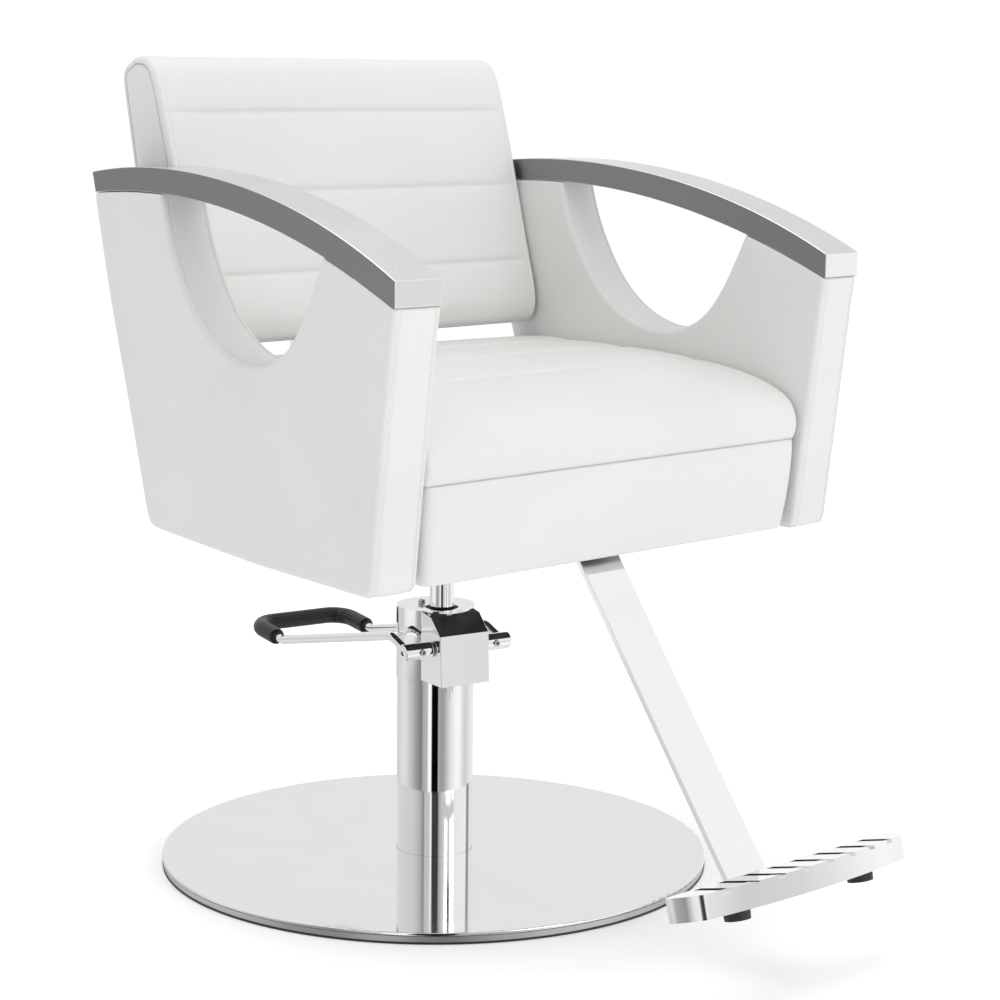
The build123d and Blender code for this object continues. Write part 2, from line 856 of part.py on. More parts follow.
tilt = radians(plate_tilt)
tread = Plane(origin=(0, -495.2, 111.2), x_dir=(1, 0, 0), z_dir=(0, sin(tilt), cos(tilt)))
foot_points = [(-90, -14), (90, -14)]

with BuildPart() as footrest_plate:
    with BuildSketch(tread) as plate_face:
        with BuildLine():
            ThreePointArc((-plate_half, -28.5), (0, -45), (plate_half, -28.5))
            ThreePointArc((plate_half, -28.5), (plate_half + 12.2, -12.2), (plate_half + 18, 8))
            Line((plate_half + 18, 8), (-plate_half - 18, 8))
            ThreePointArc((-plate_half - 18, 8), (-plate_half - 12.2, -12.2), (-plate_half, -28.5))
        make_face()
        fillet(plate_face.vertices(), 5)
    extrude(amount=-plate_thick)
    with BuildSketch(tread):
        for i in range(8):
            with Locations(((i - 3.5) * 34, -25)):
                Rectangle(10, 58)
    extrude(amount=-3.5, mode=Mode.SUBTRACT)
    with BuildSketch(Plane.YZ):
        Polygon(*flat_bar([footrest_line[3], (-519.6, 95.1)], bar_thick + 2 * fit), align=None)
    extrude(amount=bar_half + fit, both=True, mode=Mode.SUBTRACT)
    with BuildSketch(tread.offset(-plate_thick)):
        with Locations(*foot_points):
            Circle(4 + fit)
    extrude(amount=9, mode=Mode.SUBTRACT)

with BuildPart() as footrest_feet:
    with BuildSketch(tread.offset(-plate_thick)):
        with Locations(*foot_points):
            Circle(4)
    extrude(amount=8)
    with BuildSketch(tread.offset(-plate_thick)):
        with Locations(*foot_points):
            Circle(13.5)
    extrude(amount=-11, taper=4)

# ============================ EXPORT ========================================
parts = {
    "base_plate": base_plate,
    "base_ring": base_ring,
    "base_gasket": base_gasket,
    "base_cover": base_cover,
    "foot_flange": foot_flange,
    "foot_bolts": foot_bolts,
    "column_tube": column_tube,
    "pump_barrel": pump_barrel,
    "pump_head": pump_head,
    "rod_guide": rod_guide,
    "wiper_seal": wiper_seal,
    "bleed_screw": bleed_screw,
    "shaft_bushes": shaft_bushes,
    "valve_cover": valve_cover,
    "cover_screws": cover_screws,
    "return_spring": return_spring,
    "rocker_shaft": rocker_shaft,
    "crank": crank,
    "pump_plunger": pump_plunger,
    "lever_rod": lever_rod,
    "lever_grip": lever_grip,
    "lever_hub_left": lever_hub_left,
    "lever_hub_right": lever_hub_right,
    "hub_screws": hub_screws,
    "piston_rod": piston_rod,
    "piston_head": piston_head,
    "piston_seal": piston_seal,
    "piston_nut": piston_nut,
    "thrust_washer": thrust_washer,
    "swivel_socket": swivel_socket,
    "swivel_bush": swivel_bush,
    "mount_plate": mount_plate,
    "socket_bolts": socket_bolts,
    "socket_nuts": socket_nuts,
    "seat_frame": seat_frame,
    "frame_bolts": frame_bolts,
    "seat_box": seat_box,
    "seat_deck": seat_deck,
    "deck_screws": deck_screws,
    "seat_cushion": seat_cushion,
    "dust_cover": dust_cover,
    "panel_left": panel_left,
    "panel_right": panel_right,
    "panel_core_left": panel_core_left,
    "panel_core_right": panel_core_right,
    "panel_bolts": panel_bolts,
    "armrest_left": armrest_left,
    "armrest_right": armrest_right,
    "arm_studs": arm_studs,
    "back_cushion": back_cushion,
    "back_board": back_board,
    "back_cover": back_cover,
    "back_uprights": back_uprights,
    "upright_bolts": upright_bolts,
    "footrest_bar": footrest_bar,
    "footrest_bolts": footrest_bolts,
    "footrest_plate": footrest_plate,
    "footrest_feet": footrest_feet,
}

for name, built in parts.items():
    built.part.label = name
    export_step(built.part, "parts/" + name + ".step")
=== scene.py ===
"""Looks for the hydraulic styling chair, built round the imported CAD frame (metres)."""
import json
import math

import bmesh
import bpy
import numpy as np
from mathutils import Matrix, Vector
from mathutils.geometry import delaunay_2d_cdt


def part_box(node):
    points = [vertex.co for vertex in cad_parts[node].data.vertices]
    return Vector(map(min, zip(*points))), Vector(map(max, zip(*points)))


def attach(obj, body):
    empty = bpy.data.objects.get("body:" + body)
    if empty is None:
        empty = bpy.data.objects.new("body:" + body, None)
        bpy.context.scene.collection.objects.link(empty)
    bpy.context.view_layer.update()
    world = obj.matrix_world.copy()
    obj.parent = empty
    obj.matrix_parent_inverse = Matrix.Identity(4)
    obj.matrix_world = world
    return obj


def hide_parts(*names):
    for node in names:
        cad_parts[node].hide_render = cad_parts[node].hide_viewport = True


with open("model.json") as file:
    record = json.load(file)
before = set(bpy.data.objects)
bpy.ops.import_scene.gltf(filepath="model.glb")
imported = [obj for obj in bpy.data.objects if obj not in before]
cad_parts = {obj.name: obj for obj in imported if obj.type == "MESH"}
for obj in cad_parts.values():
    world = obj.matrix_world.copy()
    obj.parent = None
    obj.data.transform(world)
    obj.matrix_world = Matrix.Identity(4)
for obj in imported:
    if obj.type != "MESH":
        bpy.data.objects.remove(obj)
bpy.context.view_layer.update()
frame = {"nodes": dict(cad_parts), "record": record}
nodes = frame["nodes"]


# --------------------------------------------------------------- node helpers
def math_node(tree, kind, a, b):
    node = tree.nodes.new("ShaderNodeMath")
    node.operation = kind
    for socket, item in zip(node.inputs, (a, b)):
        if isinstance(item, (int, float)):
            socket.default_value = item
        else:
            tree.links.new(item, socket)
    return node.outputs[0]


def range_node(tree, value, start, end, low, high, interpolation="LINEAR"):
    """Maps start-end onto low-high."""
    node = tree.nodes.new("ShaderNodeMapRange")
    node.interpolation_type = interpolation
    for key, number in (("From Min", start), ("From Max", end), ("To Min", low), ("To Max", high)):
        node.inputs[key].default_value = number
    tree.links.new(value, node.inputs["Value"])
    return node.outputs["Result"]


def ramp_node(tree, value, stops):
    """Colour ramp with a stop for each (place, colour)."""
    node = tree.nodes.new("ShaderNodeValToRGB")
    ramp = node.color_ramp
    while len(ramp.elements) < len(stops):
        ramp.elements.new(0.5)
    for element, (place, colour) in zip(ramp.elements, stops):
        element.position = place
        element.color = (*colour, 1.0)
    tree.links.new(value, node.inputs["Fac"])
    return node.outputs["Color"]


# ------------------------------------------------------------------ materials
class Shader:
    """Builds one procedural material on a Principled shader."""

    def __init__(self, name, **constants):
        self.material = bpy.data.materials.new(name)
        self.material.use_nodes = True
        self.tree = self.material.node_tree
        self.nodes = self.tree.nodes
        self.links = self.tree.links
        self.bsdf = next(n for n in self.nodes if n.type == "BSDF_PRINCIPLED")
        self.where = self.nodes.new("ShaderNodeTexCoord").outputs["Object"]
        for key, value in constants.items():
            self.bsdf.inputs[key.replace("_", " ")].default_value = value

    def stretched(self, scale):
        mapping = self.nodes.new("ShaderNodeMapping")
        mapping.inputs["Scale"].default_value = scale
        self.links.new(self.where, mapping.inputs["Vector"])
        return mapping.outputs["Vector"]

    def noise(self, scale, detail=3.0, rough=0.5, where=None, distortion=0.0):
        node = self.nodes.new("ShaderNodeTexNoise")
        node.inputs["Scale"].default_value = scale
        node.inputs["Detail"].default_value = detail
        node.inputs["Roughness"].default_value = rough
        node.inputs["Distortion"].default_value = distortion
        self.links.new(where or self.where, node.inputs["Vector"])
        return node.outputs["Fac"]

    def cells(self, scale):
        node = self.nodes.new("ShaderNodeTexVoronoi")
        node.inputs["Scale"].default_value = scale
        self.links.new(self.where, node.inputs["Vector"])
        return node.outputs["Distance"]

    def spread(self, value, low, high, start=0.3, end=0.7):
        return range_node(self.tree, value, start, end, low, high)

    def math(self, kind, a, b):
        return math_node(self.tree, kind, a, b)

    def colours(self, value, stops):
        return ramp_node(self.tree, value, stops)

    def bump(self, height, strength, distance, below=None):
        node = self.nodes.new("ShaderNodeBump")
        node.inputs["Strength"].default_value = strength
        node.inputs["Distance"].default_value = distance
        self.links.new(height, node.inputs["Height"])
        if below is not None:
            self.links.new(below, node.inputs["Normal"])
        return node.outputs["Normal"]

    def set(self, **sockets):
        for key, value in sockets.items():
            self.links.new(value, self.bsdf.inputs[key.replace("_", " ")])
        return self.material


def leather():
    s = Shader("white_leather", Specular_IOR_Level=0.42, Coat_Weight=0.06, Coat_Roughness=0.35)
    pebbles = s.cells(820.0)
    fine = s.noise(1900.0, 4.0, 0.6)
    creases = s.noise(120.0, 5.0, 0.62, distortion=0.6)
    soft = s.noise(9.0, 2.0, 0.5)
    tone = s.colours(soft, [(0.3, (0.735, 0.728, 0.716)), (0.7, (0.760, 0.753, 0.740))])
    rough = s.spread(creases, 0.42, 0.50)
    normal = s.bump(creases, 0.05, 0.0003)
    normal = s.bump(pebbles, 0.20, 0.0003, normal)
    normal = s.bump(fine, 0.10, 0.0002, normal)
    return s.set(Base_Color=tone, Roughness=rough, Normal=normal)


def thread():
    s = Shader("sewing_thread", Specular_IOR_Level=0.3)
    twist = s.noise(2600.0, 2.0)
    tone = s.colours(twist, [(0.3, (0.66, 0.655, 0.645)), (0.7, (0.74, 0.735, 0.725))])
    return s.set(Base_Color=tone, Roughness=s.spread(twist, 0.55, 0.75), Normal=s.bump(twist, 0.3, 0.0002))


def polished(name, colour, low, high):
    """Chrome or polished steel with faint haze and hairline marks."""
    s = Shader(name, Metallic=1.0)
    haze = s.noise(14.0, 4.0, 0.55)
    hairs = s.noise(60.0, 3.0, 0.7, s.stretched((1.0, 9.0, 14.0)))
    tone = s.colours(haze, [(0.25, tuple(c * 0.975 for c in colour)), (0.75, colour)])
    rough = s.math("ADD", s.spread(haze, low, high), s.spread(hairs, 0.0, 0.02))
    normal = s.bump(haze, 0.02, 0.0004)
    return s.set(Base_Color=tone, Roughness=rough, Normal=normal)


def satin():
    """Satin-anodised aluminium, rougher on the sides, with light painted in by face direction: a painted
    highlight on the ends and partly on the top, painted shade on the sides and on rear-facing faces.
    """
    s = Shader("satin_aluminium", Metallic=1.0)
    streaks = s.noise(900.0, 3.0, 0.6, s.stretched((1.0, 0.03, 1.0)))
    cloud = s.noise(7.0, 2.0)
    # the tone depends on which way a face points: painted highlight on the ends, painted shade on the sides
    # and towards the rear, made to match the photograph
    facing = s.nodes.new("ShaderNodeSeparateXYZ")
    s.links.new(s.nodes.new("ShaderNodeTexCoord").outputs["Normal"], facing.inputs[0])
    side_mask_painted_shade = s.spread(s.math("ABSOLUTE", facing.outputs["X"], 0.0), 0.0, 1.0, 0.80, 0.97)
    # faces pointing along the arm, at its ends, are painted bright: a painted highlight, taken off the brush
    # streaks' tone below
    end_mask_painted_highlight = s.spread(s.math("ABSOLUTE", facing.outputs["Y"], 0.0), 0.0, 0.10, 0.88, 0.99)
    streaks_and_painted_highlight = s.math("SUBTRACT", s.spread(streaks, 0.03, 0.054), end_mask_painted_highlight)
    # faces turned towards the rear are painted darker: a painted dark reflection, plus a faint random cloud
    painted_rear_reflection = s.spread(facing.outputs["Y"], 0.0, 0.34, 0.0, 0.16)
    rear_reflection_and_cloud = s.math("ADD", painted_rear_reflection, s.spread(cloud, -0.008, 0.008))
    place = s.math("ADD", s.math("ADD", side_mask_painted_shade, streaks_and_painted_highlight), rear_reflection_and_cloud)
    # the tone ramp runs from a painted highlight through the top's tone to painted shade on the sides
    painted_highlight_tone, top_tone, painted_shade_side_tone = (0.97, 0.97, 0.975), (0.72, 0.72, 0.725), (0.26, 0.26, 0.263)
    tone = s.colours(place, [(0.0, painted_highlight_tone), (0.045, top_tone), (1.0, painted_shade_side_tone)])
    rough = s.math("ADD", s.spread(streaks, 0.15, 0.20), s.math("MULTIPLY", side_mask_painted_shade, 0.14))
    return s.set(Base_Color=tone, Roughness=rough, Normal=s.bump(streaks, 0.012, 0.00005))


def machined(name, colour, low=0.26, high=0.4):
    s = Shader(name, Metallic=1.0)
    lines = s.noise(160.0, 4.0, 0.6, s.stretched((3.0, 3.0, 22.0)))
    dirt = s.noise(22.0, 3.0)
    tone = s.colours(dirt, [(0.3, tuple(c * 0.86 for c in colour)), (0.7, colour)])
    return s.set(Base_Color=tone, Roughness=s.spread(lines, low, high), Normal=s.bump(lines, 0.10, 0.0003))


def rubber(name="black_rubber", colour=(0.018, 0.018, 0.019), low=0.42, high=0.6):
    s = Shader(name, Specular_IOR_Level=0.45)
    grain = s.noise(700.0, 4.0, 0.6)
    dust = s.noise(18.0, 3.0)
    tone = s.colours(dust, [(0.3, colour), (0.75, tuple(c * 1.7 for c in colour))])
    return s.set(Base_Color=tone, Roughness=s.spread(dust, low, high), Normal=s.bump(grain, 0.22, 0.0003))


def painted(name, colour):
    s = Shader(name, Specular_IOR_Level=0.5)
    peel = s.noise(240.0, 3.0, 0.5)
    dust = s.noise(15.0, 3.0)
    tone = s.colours(dust, [(0.3, colour), (0.7, tuple(c * 1.5 for c in colour))])
    return s.set(Base_Color=tone, Roughness=s.spread(dust, 0.34, 0.46), Normal=s.bump(peel, 0.14, 0.0004))


def plywood():
    s = Shader("plywood", Specular_IOR_Level=0.3)
    rings = s.noise(30.0, 5.0, 0.6, s.stretched((1.0, 9.0, 6.0)), 0.8)
    dark, middle, pale = (0.42, 0.28, 0.15), (0.60, 0.44, 0.27), (0.68, 0.53, 0.35)
    tone = s.colours(rings, [(0.25, dark), (0.55, middle), (0.8, pale)])
    return s.set(Base_Color=tone, Roughness=s.spread(rings, 0.5, 0.66), Normal=s.bump(rings, 0.2, 0.0006))


def cloth():
    s = Shader("black_cloth", Specular_IOR_Level=0.2)
    fibres = s.noise(900.0, 5.0, 0.7)
    patch = s.noise(40.0, 3.0)
    tone = s.colours(patch, [(0.3, (0.018, 0.018, 0.019)), (0.7, (0.045, 0.045, 0.047))])
    return s.set(Base_Color=tone, Roughness=s.spread(patch, 0.8, 0.95), Normal=s.bump(fibres, 0.5, 0.0005))


materials = {
    "white_leather": leather(),
    "chrome": polished("chrome", (0.915, 0.918, 0.925), 0.025, 0.045),
    "polished_steel": polished("polished_steel", (0.90, 0.903, 0.905), 0.03, 0.06),
    "cast_base": machined("cast_base", (0.62, 0.62, 0.625), 0.30, 0.42),
    "plain_steel": machined("plain_steel", (0.50, 0.50, 0.51)),
    "zinc_screws": machined("zinc_screws", (0.60, 0.60, 0.62), 0.18, 0.3),
    "bronze": machined("bronze", (0.56, 0.49, 0.38)),
    "black_rubber": rubber(),
    "grip_rubber": rubber("grip_rubber", (0.006, 0.006, 0.0063), 0.28, 0.40),
    "black_foam": rubber("black_foam", (0.02, 0.02, 0.02), 0.7, 0.9),
    "black_paint": painted("black_paint", (0.02, 0.02, 0.022)),
    "satin_aluminium": satin(),
    "plywood": plywood(),
    "black_cloth": cloth(),
}
stitch_material = thread()

for entry in frame["record"]["subparts"]:
    mesh = nodes[entry["node"]].data
    mesh.materials.clear()
    mesh.materials.append(materials[entry["material_slot"]])


# ------------------------------------------------------------- shape helpers
def piece(name, mesh, material, body):
    """Smooth-shaded object that moves with a body and stands for a material slot."""
    obj = bpy.data.objects.new(name, mesh)
    bpy.context.scene.collection.objects.link(obj)
    mesh.materials.clear()
    mesh.materials.append(material)
    for polygon in mesh.polygons:
        polygon.use_smooth = True
    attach(obj, body)
    return obj


def mesh_from(name, points, faces):
    mesh = bpy.data.meshes.new(name)
    mesh.from_pydata([tuple(p) for p in points], [], faces)
    mesh.validate()
    built = bmesh.new()
    built.from_mesh(mesh)
    bmesh.ops.recalc_face_normals(built, faces=built.faces)
    built.to_mesh(mesh)
    built.free()
    return mesh


def respaced(dense, step):
    length = np.concatenate([[0], np.cumsum(np.linalg.norm(np.diff(dense, axis=0), axis=1))])
    count = max(2, int(round(length[-1] / step)) + 1)
    marks = np.linspace(0, length[-1], count)
    return np.stack([np.interp(marks, length, dense[:, k]) for k in range(dense.shape[1])], 1)


def corner_arc(a, b, c, radius, count):
    """Points of the arc that rounds corner b of the lines a-b and b-c."""
    u = (a - b) / np.linalg.norm(a - b)
    v = (c - b) / np.linalg.norm(c - b)
    angle = math.acos(float(np.clip(u @ v, -1, 1)))
    reach = radius / math.tan(angle / 2)
    centre = b + (u + v) / np.linalg.norm(u + v) * radius / math.sin(angle / 2)
    first, last = b + u * reach - centre, b + v * reach - centre
    sweep = math.pi - angle
    return [centre + (math.sin((1 - t) * sweep) * first + math.sin(t * sweep) * last) / math.sin(sweep)
            for t in np.linspace(0, 1, count)]


def rounded(corners, radius, step):
    """An open polyline with arcs at its corners, as evenly spaced 3-D points."""
    line = [corners[0]]
    for a, b, c in zip(corners, corners[1:], corners[2:]):
        line += corner_arc(a, b, c, radius, 13)
    line.append(corners[-1])
    return respaced(np.array(line), step)


def ring_faces(rings, around):
    """Quads between rings of points that follow one another."""
    faces = []
    for i in range(rings - 1):
        for j in range(around):
            k = (j + 1) % around
            a, b = i * around, (i + 1) * around
            faces.append((a + j, a + k, b + k, b + j))
    return faces


def sweep_along(name, points, section):
    """Mesh of a section carried along a path; section(t) gives a ring's radii and angles."""
    count = len(points)
    tangents = np.gradient(points, axis=0)
    tangents /= np.linalg.norm(tangents, axis=1)[:, None]
    side = np.cross(tangents[0], (0.3, 0.2, 1.0))
    side /= np.linalg.norm(side)
    rings = []
    for i, (point, ahead) in enumerate(zip(points, tangents)):
        side = side - ahead * np.dot(side, ahead)
        side /= np.linalg.norm(side)
        up = np.cross(ahead, side)
        radii, angles = section(i / (count - 1))
        rings.append(point + np.outer(radii * np.cos(angles), side) + np.outer(radii * np.sin(angles), up))
    around = len(rings[0])
    faces = ring_faces(count, around)
    faces.append(tuple(range(around))[::-1])
    faces.append(tuple((count - 1) * around + j for j in range(around)))
    return mesh_from(name, np.concatenate(rings), faces)


def subdivide(obj):
    modifier = obj.modifiers.new("round", "SUBSURF")
    modifier.levels = 1
    modifier.render_levels = 1


# ------------------------------------------------------- outlines from the CAD
def chained(pairs):
    """Longest closed loop of vertex indices in a list of edges."""
    near = {}
    for a, b in pairs:
        near.setdefault(a, []).append(b)
        near.setdefault(b, []).append(a)
    loops = []
    left = set(near)
    while left:
        start = min(left)
        loop = [start]
        left.discard(start)
        while True:
            ahead = [n for n in near[loop[-1]] if n in left]
            if not ahead:
                break
            loop.append(ahead[0])
            left.discard(ahead[0])
        loops.append(loop)
    return max(loops, key=len)


def cut_outline(node, point, normal):
    """Closed outline, as world points, where a plane cuts a CAD node."""
    cut = bmesh.new()
    cut.from_mesh(nodes[node].data)
    bmesh.ops.remove_doubles(cut, verts=cut.verts, dist=2e-6)
    geometry = cut.verts[:] + cut.edges[:] + cut.faces[:]
    result = bmesh.ops.bisect_plane(cut, geom=geometry, plane_co=point, plane_no=normal, dist=1e-7)
    edges = [g for g in result["geom_cut"] if isinstance(g, bmesh.types.BMEdge)]
    cut.verts.index_update()
    loop = chained([(e.verts[0].index, e.verts[1].index) for e in edges])
    cut.verts.ensure_lookup_table()
    points = np.array([cut.verts[i].co for i in loop], float)
    cut.free()
    return points


def lengths(loop):
    """Length along a closed loop at each of its points, and at its end."""
    closed = np.vstack([loop, loop[:1]])
    return np.concatenate([[0], np.cumsum(np.linalg.norm(np.diff(closed, axis=0), axis=1))])


def along_loop(places, loop):
    """Points at the given lengths along a closed loop."""
    closed = np.vstack([loop, loop[:1]])
    marks = lengths(loop)
    return np.stack([np.interp(places, marks, closed[:, k]) for k in range(closed.shape[1])], 1)


def counter_clockwise(loop):
    ahead = np.roll(loop, -1, 0)
    area = np.sum(loop[:, 0] * ahead[:, 1] - ahead[:, 0] * loop[:, 1])
    return loop if area > 0 else loop[::-1]


def starting_at(loop, place):
    first = int(np.argmin(np.linalg.norm(loop - np.array(place), axis=1)))
    return np.roll(loop, -first, 0)


def corners_of(loop, limit):
    """Indices of a dense loop where it turns by more than limit degrees within one point."""
    back = loop - np.roll(loop, 1, 0)
    ahead = np.roll(loop, -1, 0) - loop
    turn = np.abs(np.degrees(np.arctan2(
        back[:, 0] * ahead[:, 1] - back[:, 1] * ahead[:, 0], np.sum(back * ahead, 1))))
    return [i for i in range(len(loop)) if turn[i] > limit]


seam_spots = (0.0006, 0.0016, 0.0032, 0.0055)     # distances of the points beside a seam
seam_clear = 0.0065                               # no evenly spaced point comes this near a seam


def resampled(loop, step, keep, marks=()):
    """Evenly spaced closed loop and the length at each point.

    It keeps corners sharper than `keep` degrees, and has close points round each seam in marks.
    """
    length = lengths(loop)
    stops = sorted({0.0, float(length[-1])} | {float(length[i]) for i in corners_of(loop, keep)})
    places = []
    for a, b in zip(stops, stops[1:]):
        count = max(1, int(round((b - a) / step)))
        places += list(np.linspace(a, b, count, endpoint=False))
    for mark in marks:
        places = [p for p in places if abs(p - mark) > seam_clear]
        places += [mark + way * spot for way in (-1, 1) for spot in seam_spots]
    places = np.array(sorted(places))
    return along_loop(places, loop), places


def inset(loop, distance):
    """Counter-clockwise loop moved inwards, each edge by its own distance."""
    count = len(loop)
    distance = np.broadcast_to(distance, (count,)).astype(float)
    ahead = np.roll(loop, -1, 0) - loop
    ahead /= np.maximum(1e-12, np.linalg.norm(ahead, axis=1))[:, None]
    out = np.stack([ahead[:, 1], -ahead[:, 0]], 1)
    before = np.roll(out, 1, 0)
    d_before = np.roll(distance, 1)
    moved = loop.copy()
    for i in range(count):
        a, b = before[i], out[i]
        det = a[0] * b[1] - a[1] * b[0]
        if abs(det) < 0.08:
            n = (a + b) / max(1e-9, np.linalg.norm(a + b))
            moved[i] = loop[i] - n * (d_before[i] + distance[i]) / 2
        else:
            x = (d_before[i] * b[1] - distance[i] * a[1]) / det
            y = (a[0] * distance[i] - b[0] * d_before[i]) / det
            moved[i] = loop[i] - np.array([x, y])
    return untangled(moved, loop)


def softened(loop, fixed, rounds):
    """Loop smoothed by averaging, except at its fixed points."""
    for _ in range(rounds):
        middle = (np.roll(loop, 1, 0) + np.roll(loop, -1, 0)) / 2
        loop = np.where(fixed[:, None], loop, loop * 0.5 + middle * 0.5)
    return loop


def untangled(moved, loop):
    """Closes up the points of an inset loop that have crossed over at a tight corner."""
    way = np.roll(loop, -1, 0) - loop
    for _ in range(60):
        crossed = np.nonzero(np.sum((np.roll(moved, -1, 0) - moved) * way, axis=1) < 0)[0]
        if len(crossed) == 0:
            break
        for i in crossed:
            k = (i + 1) % len(moved)
            moved[i] = moved[k] = (moved[i] + moved[k]) / 2
    return moved


def filled(loop, step):
    """Triangles filling a 2-D loop, with inner points on a grid."""
    low, high = loop.min(0), loop.max(0)
    ahead = np.roll(loop, -1, 0)
    grid = []
    row = step * 0.866
    rows = int((high[1] - low[1]) / row) + 1
    for r in range(rows + 1):
        for c in range(int((high[0] - low[0]) / step) + 2):
            p = np.array([low[0] + (c + 0.5 * (r % 2)) * step, low[1] + r * row])
            crosses = (loop[:, 1] > p[1]) != (ahead[:, 1] > p[1])
            with np.errstate(divide="ignore", invalid="ignore"):
                slope = (ahead[:, 0] - loop[:, 0]) / (ahead[:, 1] - loop[:, 1])
                where = loop[:, 0] + (p[1] - loop[:, 1]) * slope
            inside = np.sum(crosses & (p[0] < where)) % 2 == 1
            if inside and np.min(np.linalg.norm(loop - p, axis=1)) > step * 0.6:
                grid.append(p)
    points = [Vector(p) for p in loop] + [Vector(p) for p in grid]
    edges = [(i, (i + 1) % len(loop)) for i in range(len(loop))]
    verts, _, faces, origins, _, _ = delaunay_2d_cdt(points, edges, [], 1, 1e-7)
    back = {}
    for new, old in enumerate(origins):
        if len(old):
            back[new] = old[0]
        else:
            back[new] = min(range(len(points)), key=lambda i: (points[i] - verts[new]).length)
    faces = [f for f in faces if len({back[v] for v in f}) == 3]
    triangles = [tuple(back[v] for v in face) for face in faces]
    return np.array(grid).reshape(-1, 2), triangles


def edge_distance(points, loop):
    """Distance of each 2-D point from a loop's edges."""
    best = np.full(len(points), 1e9)
    for a, b in zip(loop, np.roll(loop, -1, 0)):
        ab = b - a
        t = np.clip(((points - a) @ ab) / max(1e-12, ab @ ab), 0, 1)
        best = np.minimum(best, np.linalg.norm(points - (a + t[:, None] * ab), axis=1))
    return best


cloth_frames = 20


def inflate(obj, pinned, cap):
    """Blows a closed upholstery piece up with Cloth; no point moves more than cap."""
    mesh = obj.data
    rest = np.array([v.co for v in mesh.vertices], float)
    group = obj.vertex_groups.new(name="held")
    group.add([int(i) for i in np.nonzero(pinned)[0]], 1.0, "REPLACE")
    modifier = obj.modifiers.new("cloth", "CLOTH")
    cloth = modifier.settings
    cloth.quality = 6
    cloth.mass = 0.3
    cloth.tension_stiffness = 12
    cloth.compression_stiffness = 12
    cloth.shear_stiffness = 5
    cloth.bending_stiffness = 0.6
    cloth.use_pressure = True
    cloth.uniform_pressure_force = 4.0
    cloth.effector_weights.gravity = 0
    cloth.vertex_group_mass = "held"
    modifier.collision_settings.use_collision = False
    modifier.point_cache.frame_start = 1
    modifier.point_cache.frame_end = cloth_frames
    scene = bpy.context.scene
    for number in range(1, cloth_frames + 1):
        scene.frame_set(number)
    seen = obj.evaluated_get(bpy.context.evaluated_depsgraph_get())
    moved = np.array([v.co for v in seen.data.vertices], float)
    obj.modifiers.remove(modifier)
    obj.vertex_groups.remove(group)
    scene.frame_set(1)
    step = moved - rest
    size = np.linalg.norm(step, axis=1)
    limited = cap * np.tanh(size / cap) / np.maximum(size, 1e-9)
    new = rest + step * limited[:, None]
    mesh.vertices.foreach_set("co", new.astype(np.float32).ravel())
    mesh.update()


# ------------------------------------------------------------- side panels
toe = math.atan(0.047)            # each panel turns in towards the back by this much
outward = Vector((math.cos(toe), math.sin(toe), 0))
backward = Vector((-math.sin(toe), math.cos(toe), 0))
panel_low, panel_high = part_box("panel_left")
face_origin = Vector((panel_high.x, panel_low.y, 0))
cut_place = face_origin - outward * 0.012
thick = 0.057
panel_flare = 0.0015              # how far the panel leans outwards at the bottom, which the CAD does not
flare_top, flare_height = 0.72, 0.25


def on_panel(uv, depth):
    """World points on the left panel from side-view points and depth inside its face."""
    flare = panel_flare * np.clip((flare_top - uv[:, 1]) / flare_height, 0, 1)
    return np.array([tuple(face_origin + backward * u + Vector((0, 0, v)) - outward * d)
                     for (u, v), d in zip(uv, np.broadcast_to(depth, (len(uv),)) - flare)])


def side_outline(node):
    """Side view outline of a CAD node where it is cut parallel to the panel's face."""
    points = cut_outline(node, cut_place, outward)
    offset = points - np.array(face_origin)
    return np.stack([offset @ np.array(backward), points[:, 2]], 1)


panel_loop, _ = resampled(counter_clockwise(side_outline("panel_left")), 0.005, keep=25.0)

# the edges that lie against the armrest stay hard, the others are softened and rolled over
edge_middles = (panel_loop + np.roll(panel_loop, -1, 0)) / 2
top_edge = edge_distance(edge_middles, side_outline("armrest_left")) < 0.0012
top_point = top_edge | np.roll(top_edge, 1)
near_top = top_point.copy()
for _ in range(2):
    near_top = near_top | np.roll(near_top, 1) | np.roll(near_top, -1)
panel_loop = softened(panel_loop, near_top, 4)

# the CAD outline is off the photograph here, so the rear edge moves back and the foot forward and down
facing = np.roll(panel_loop, -1, 0) - np.roll(panel_loop, 1, 0)
facing = facing[:, 1] / np.linalg.norm(facing, axis=1)
rear_reach = 0.14                 # the rear edge leans within this of its rearmost point
rear_swell = 0.005
foot_forward, foot_down = 0.006, 0.003
rear_share = panel_loop[:, 0] > panel_loop[:, 0].max() - rear_reach
rear_share = (rear_share & (facing > 0.5)).astype(float)
for _ in range(6):
    rear_share = rear_share / 2 + (np.roll(rear_share, 1) + np.roll(rear_share, -1)) / 4
panel_loop[:, 0] += rear_swell * rear_share
panel_loop[:, 0] -= foot_forward * np.clip((0.62 - panel_loop[:, 1]) / 0.23, 0, 1)
panel_loop[:, 1] -= foot_down * np.clip((0.45 - panel_loop[:, 1]) / 0.06, 0, 1)

roll = 0.0062                     # radius of the rolled edge
seam_depth = 0.0080               # of the sewn seam, from the panel's face
seam_groove = ((-0.0013, 0.0), (-0.0006, 0.0005), (0.0, 0.0011), (0.0006, 0.0005), (0.0013, 0.0))
edge_inset = np.where(top_edge, 0.0012, roll)
panel_crown = 0.0030              # how far the padded faces stand out in the middle
stitch_shift = 0.0024             # from the seam to the stitching beside it


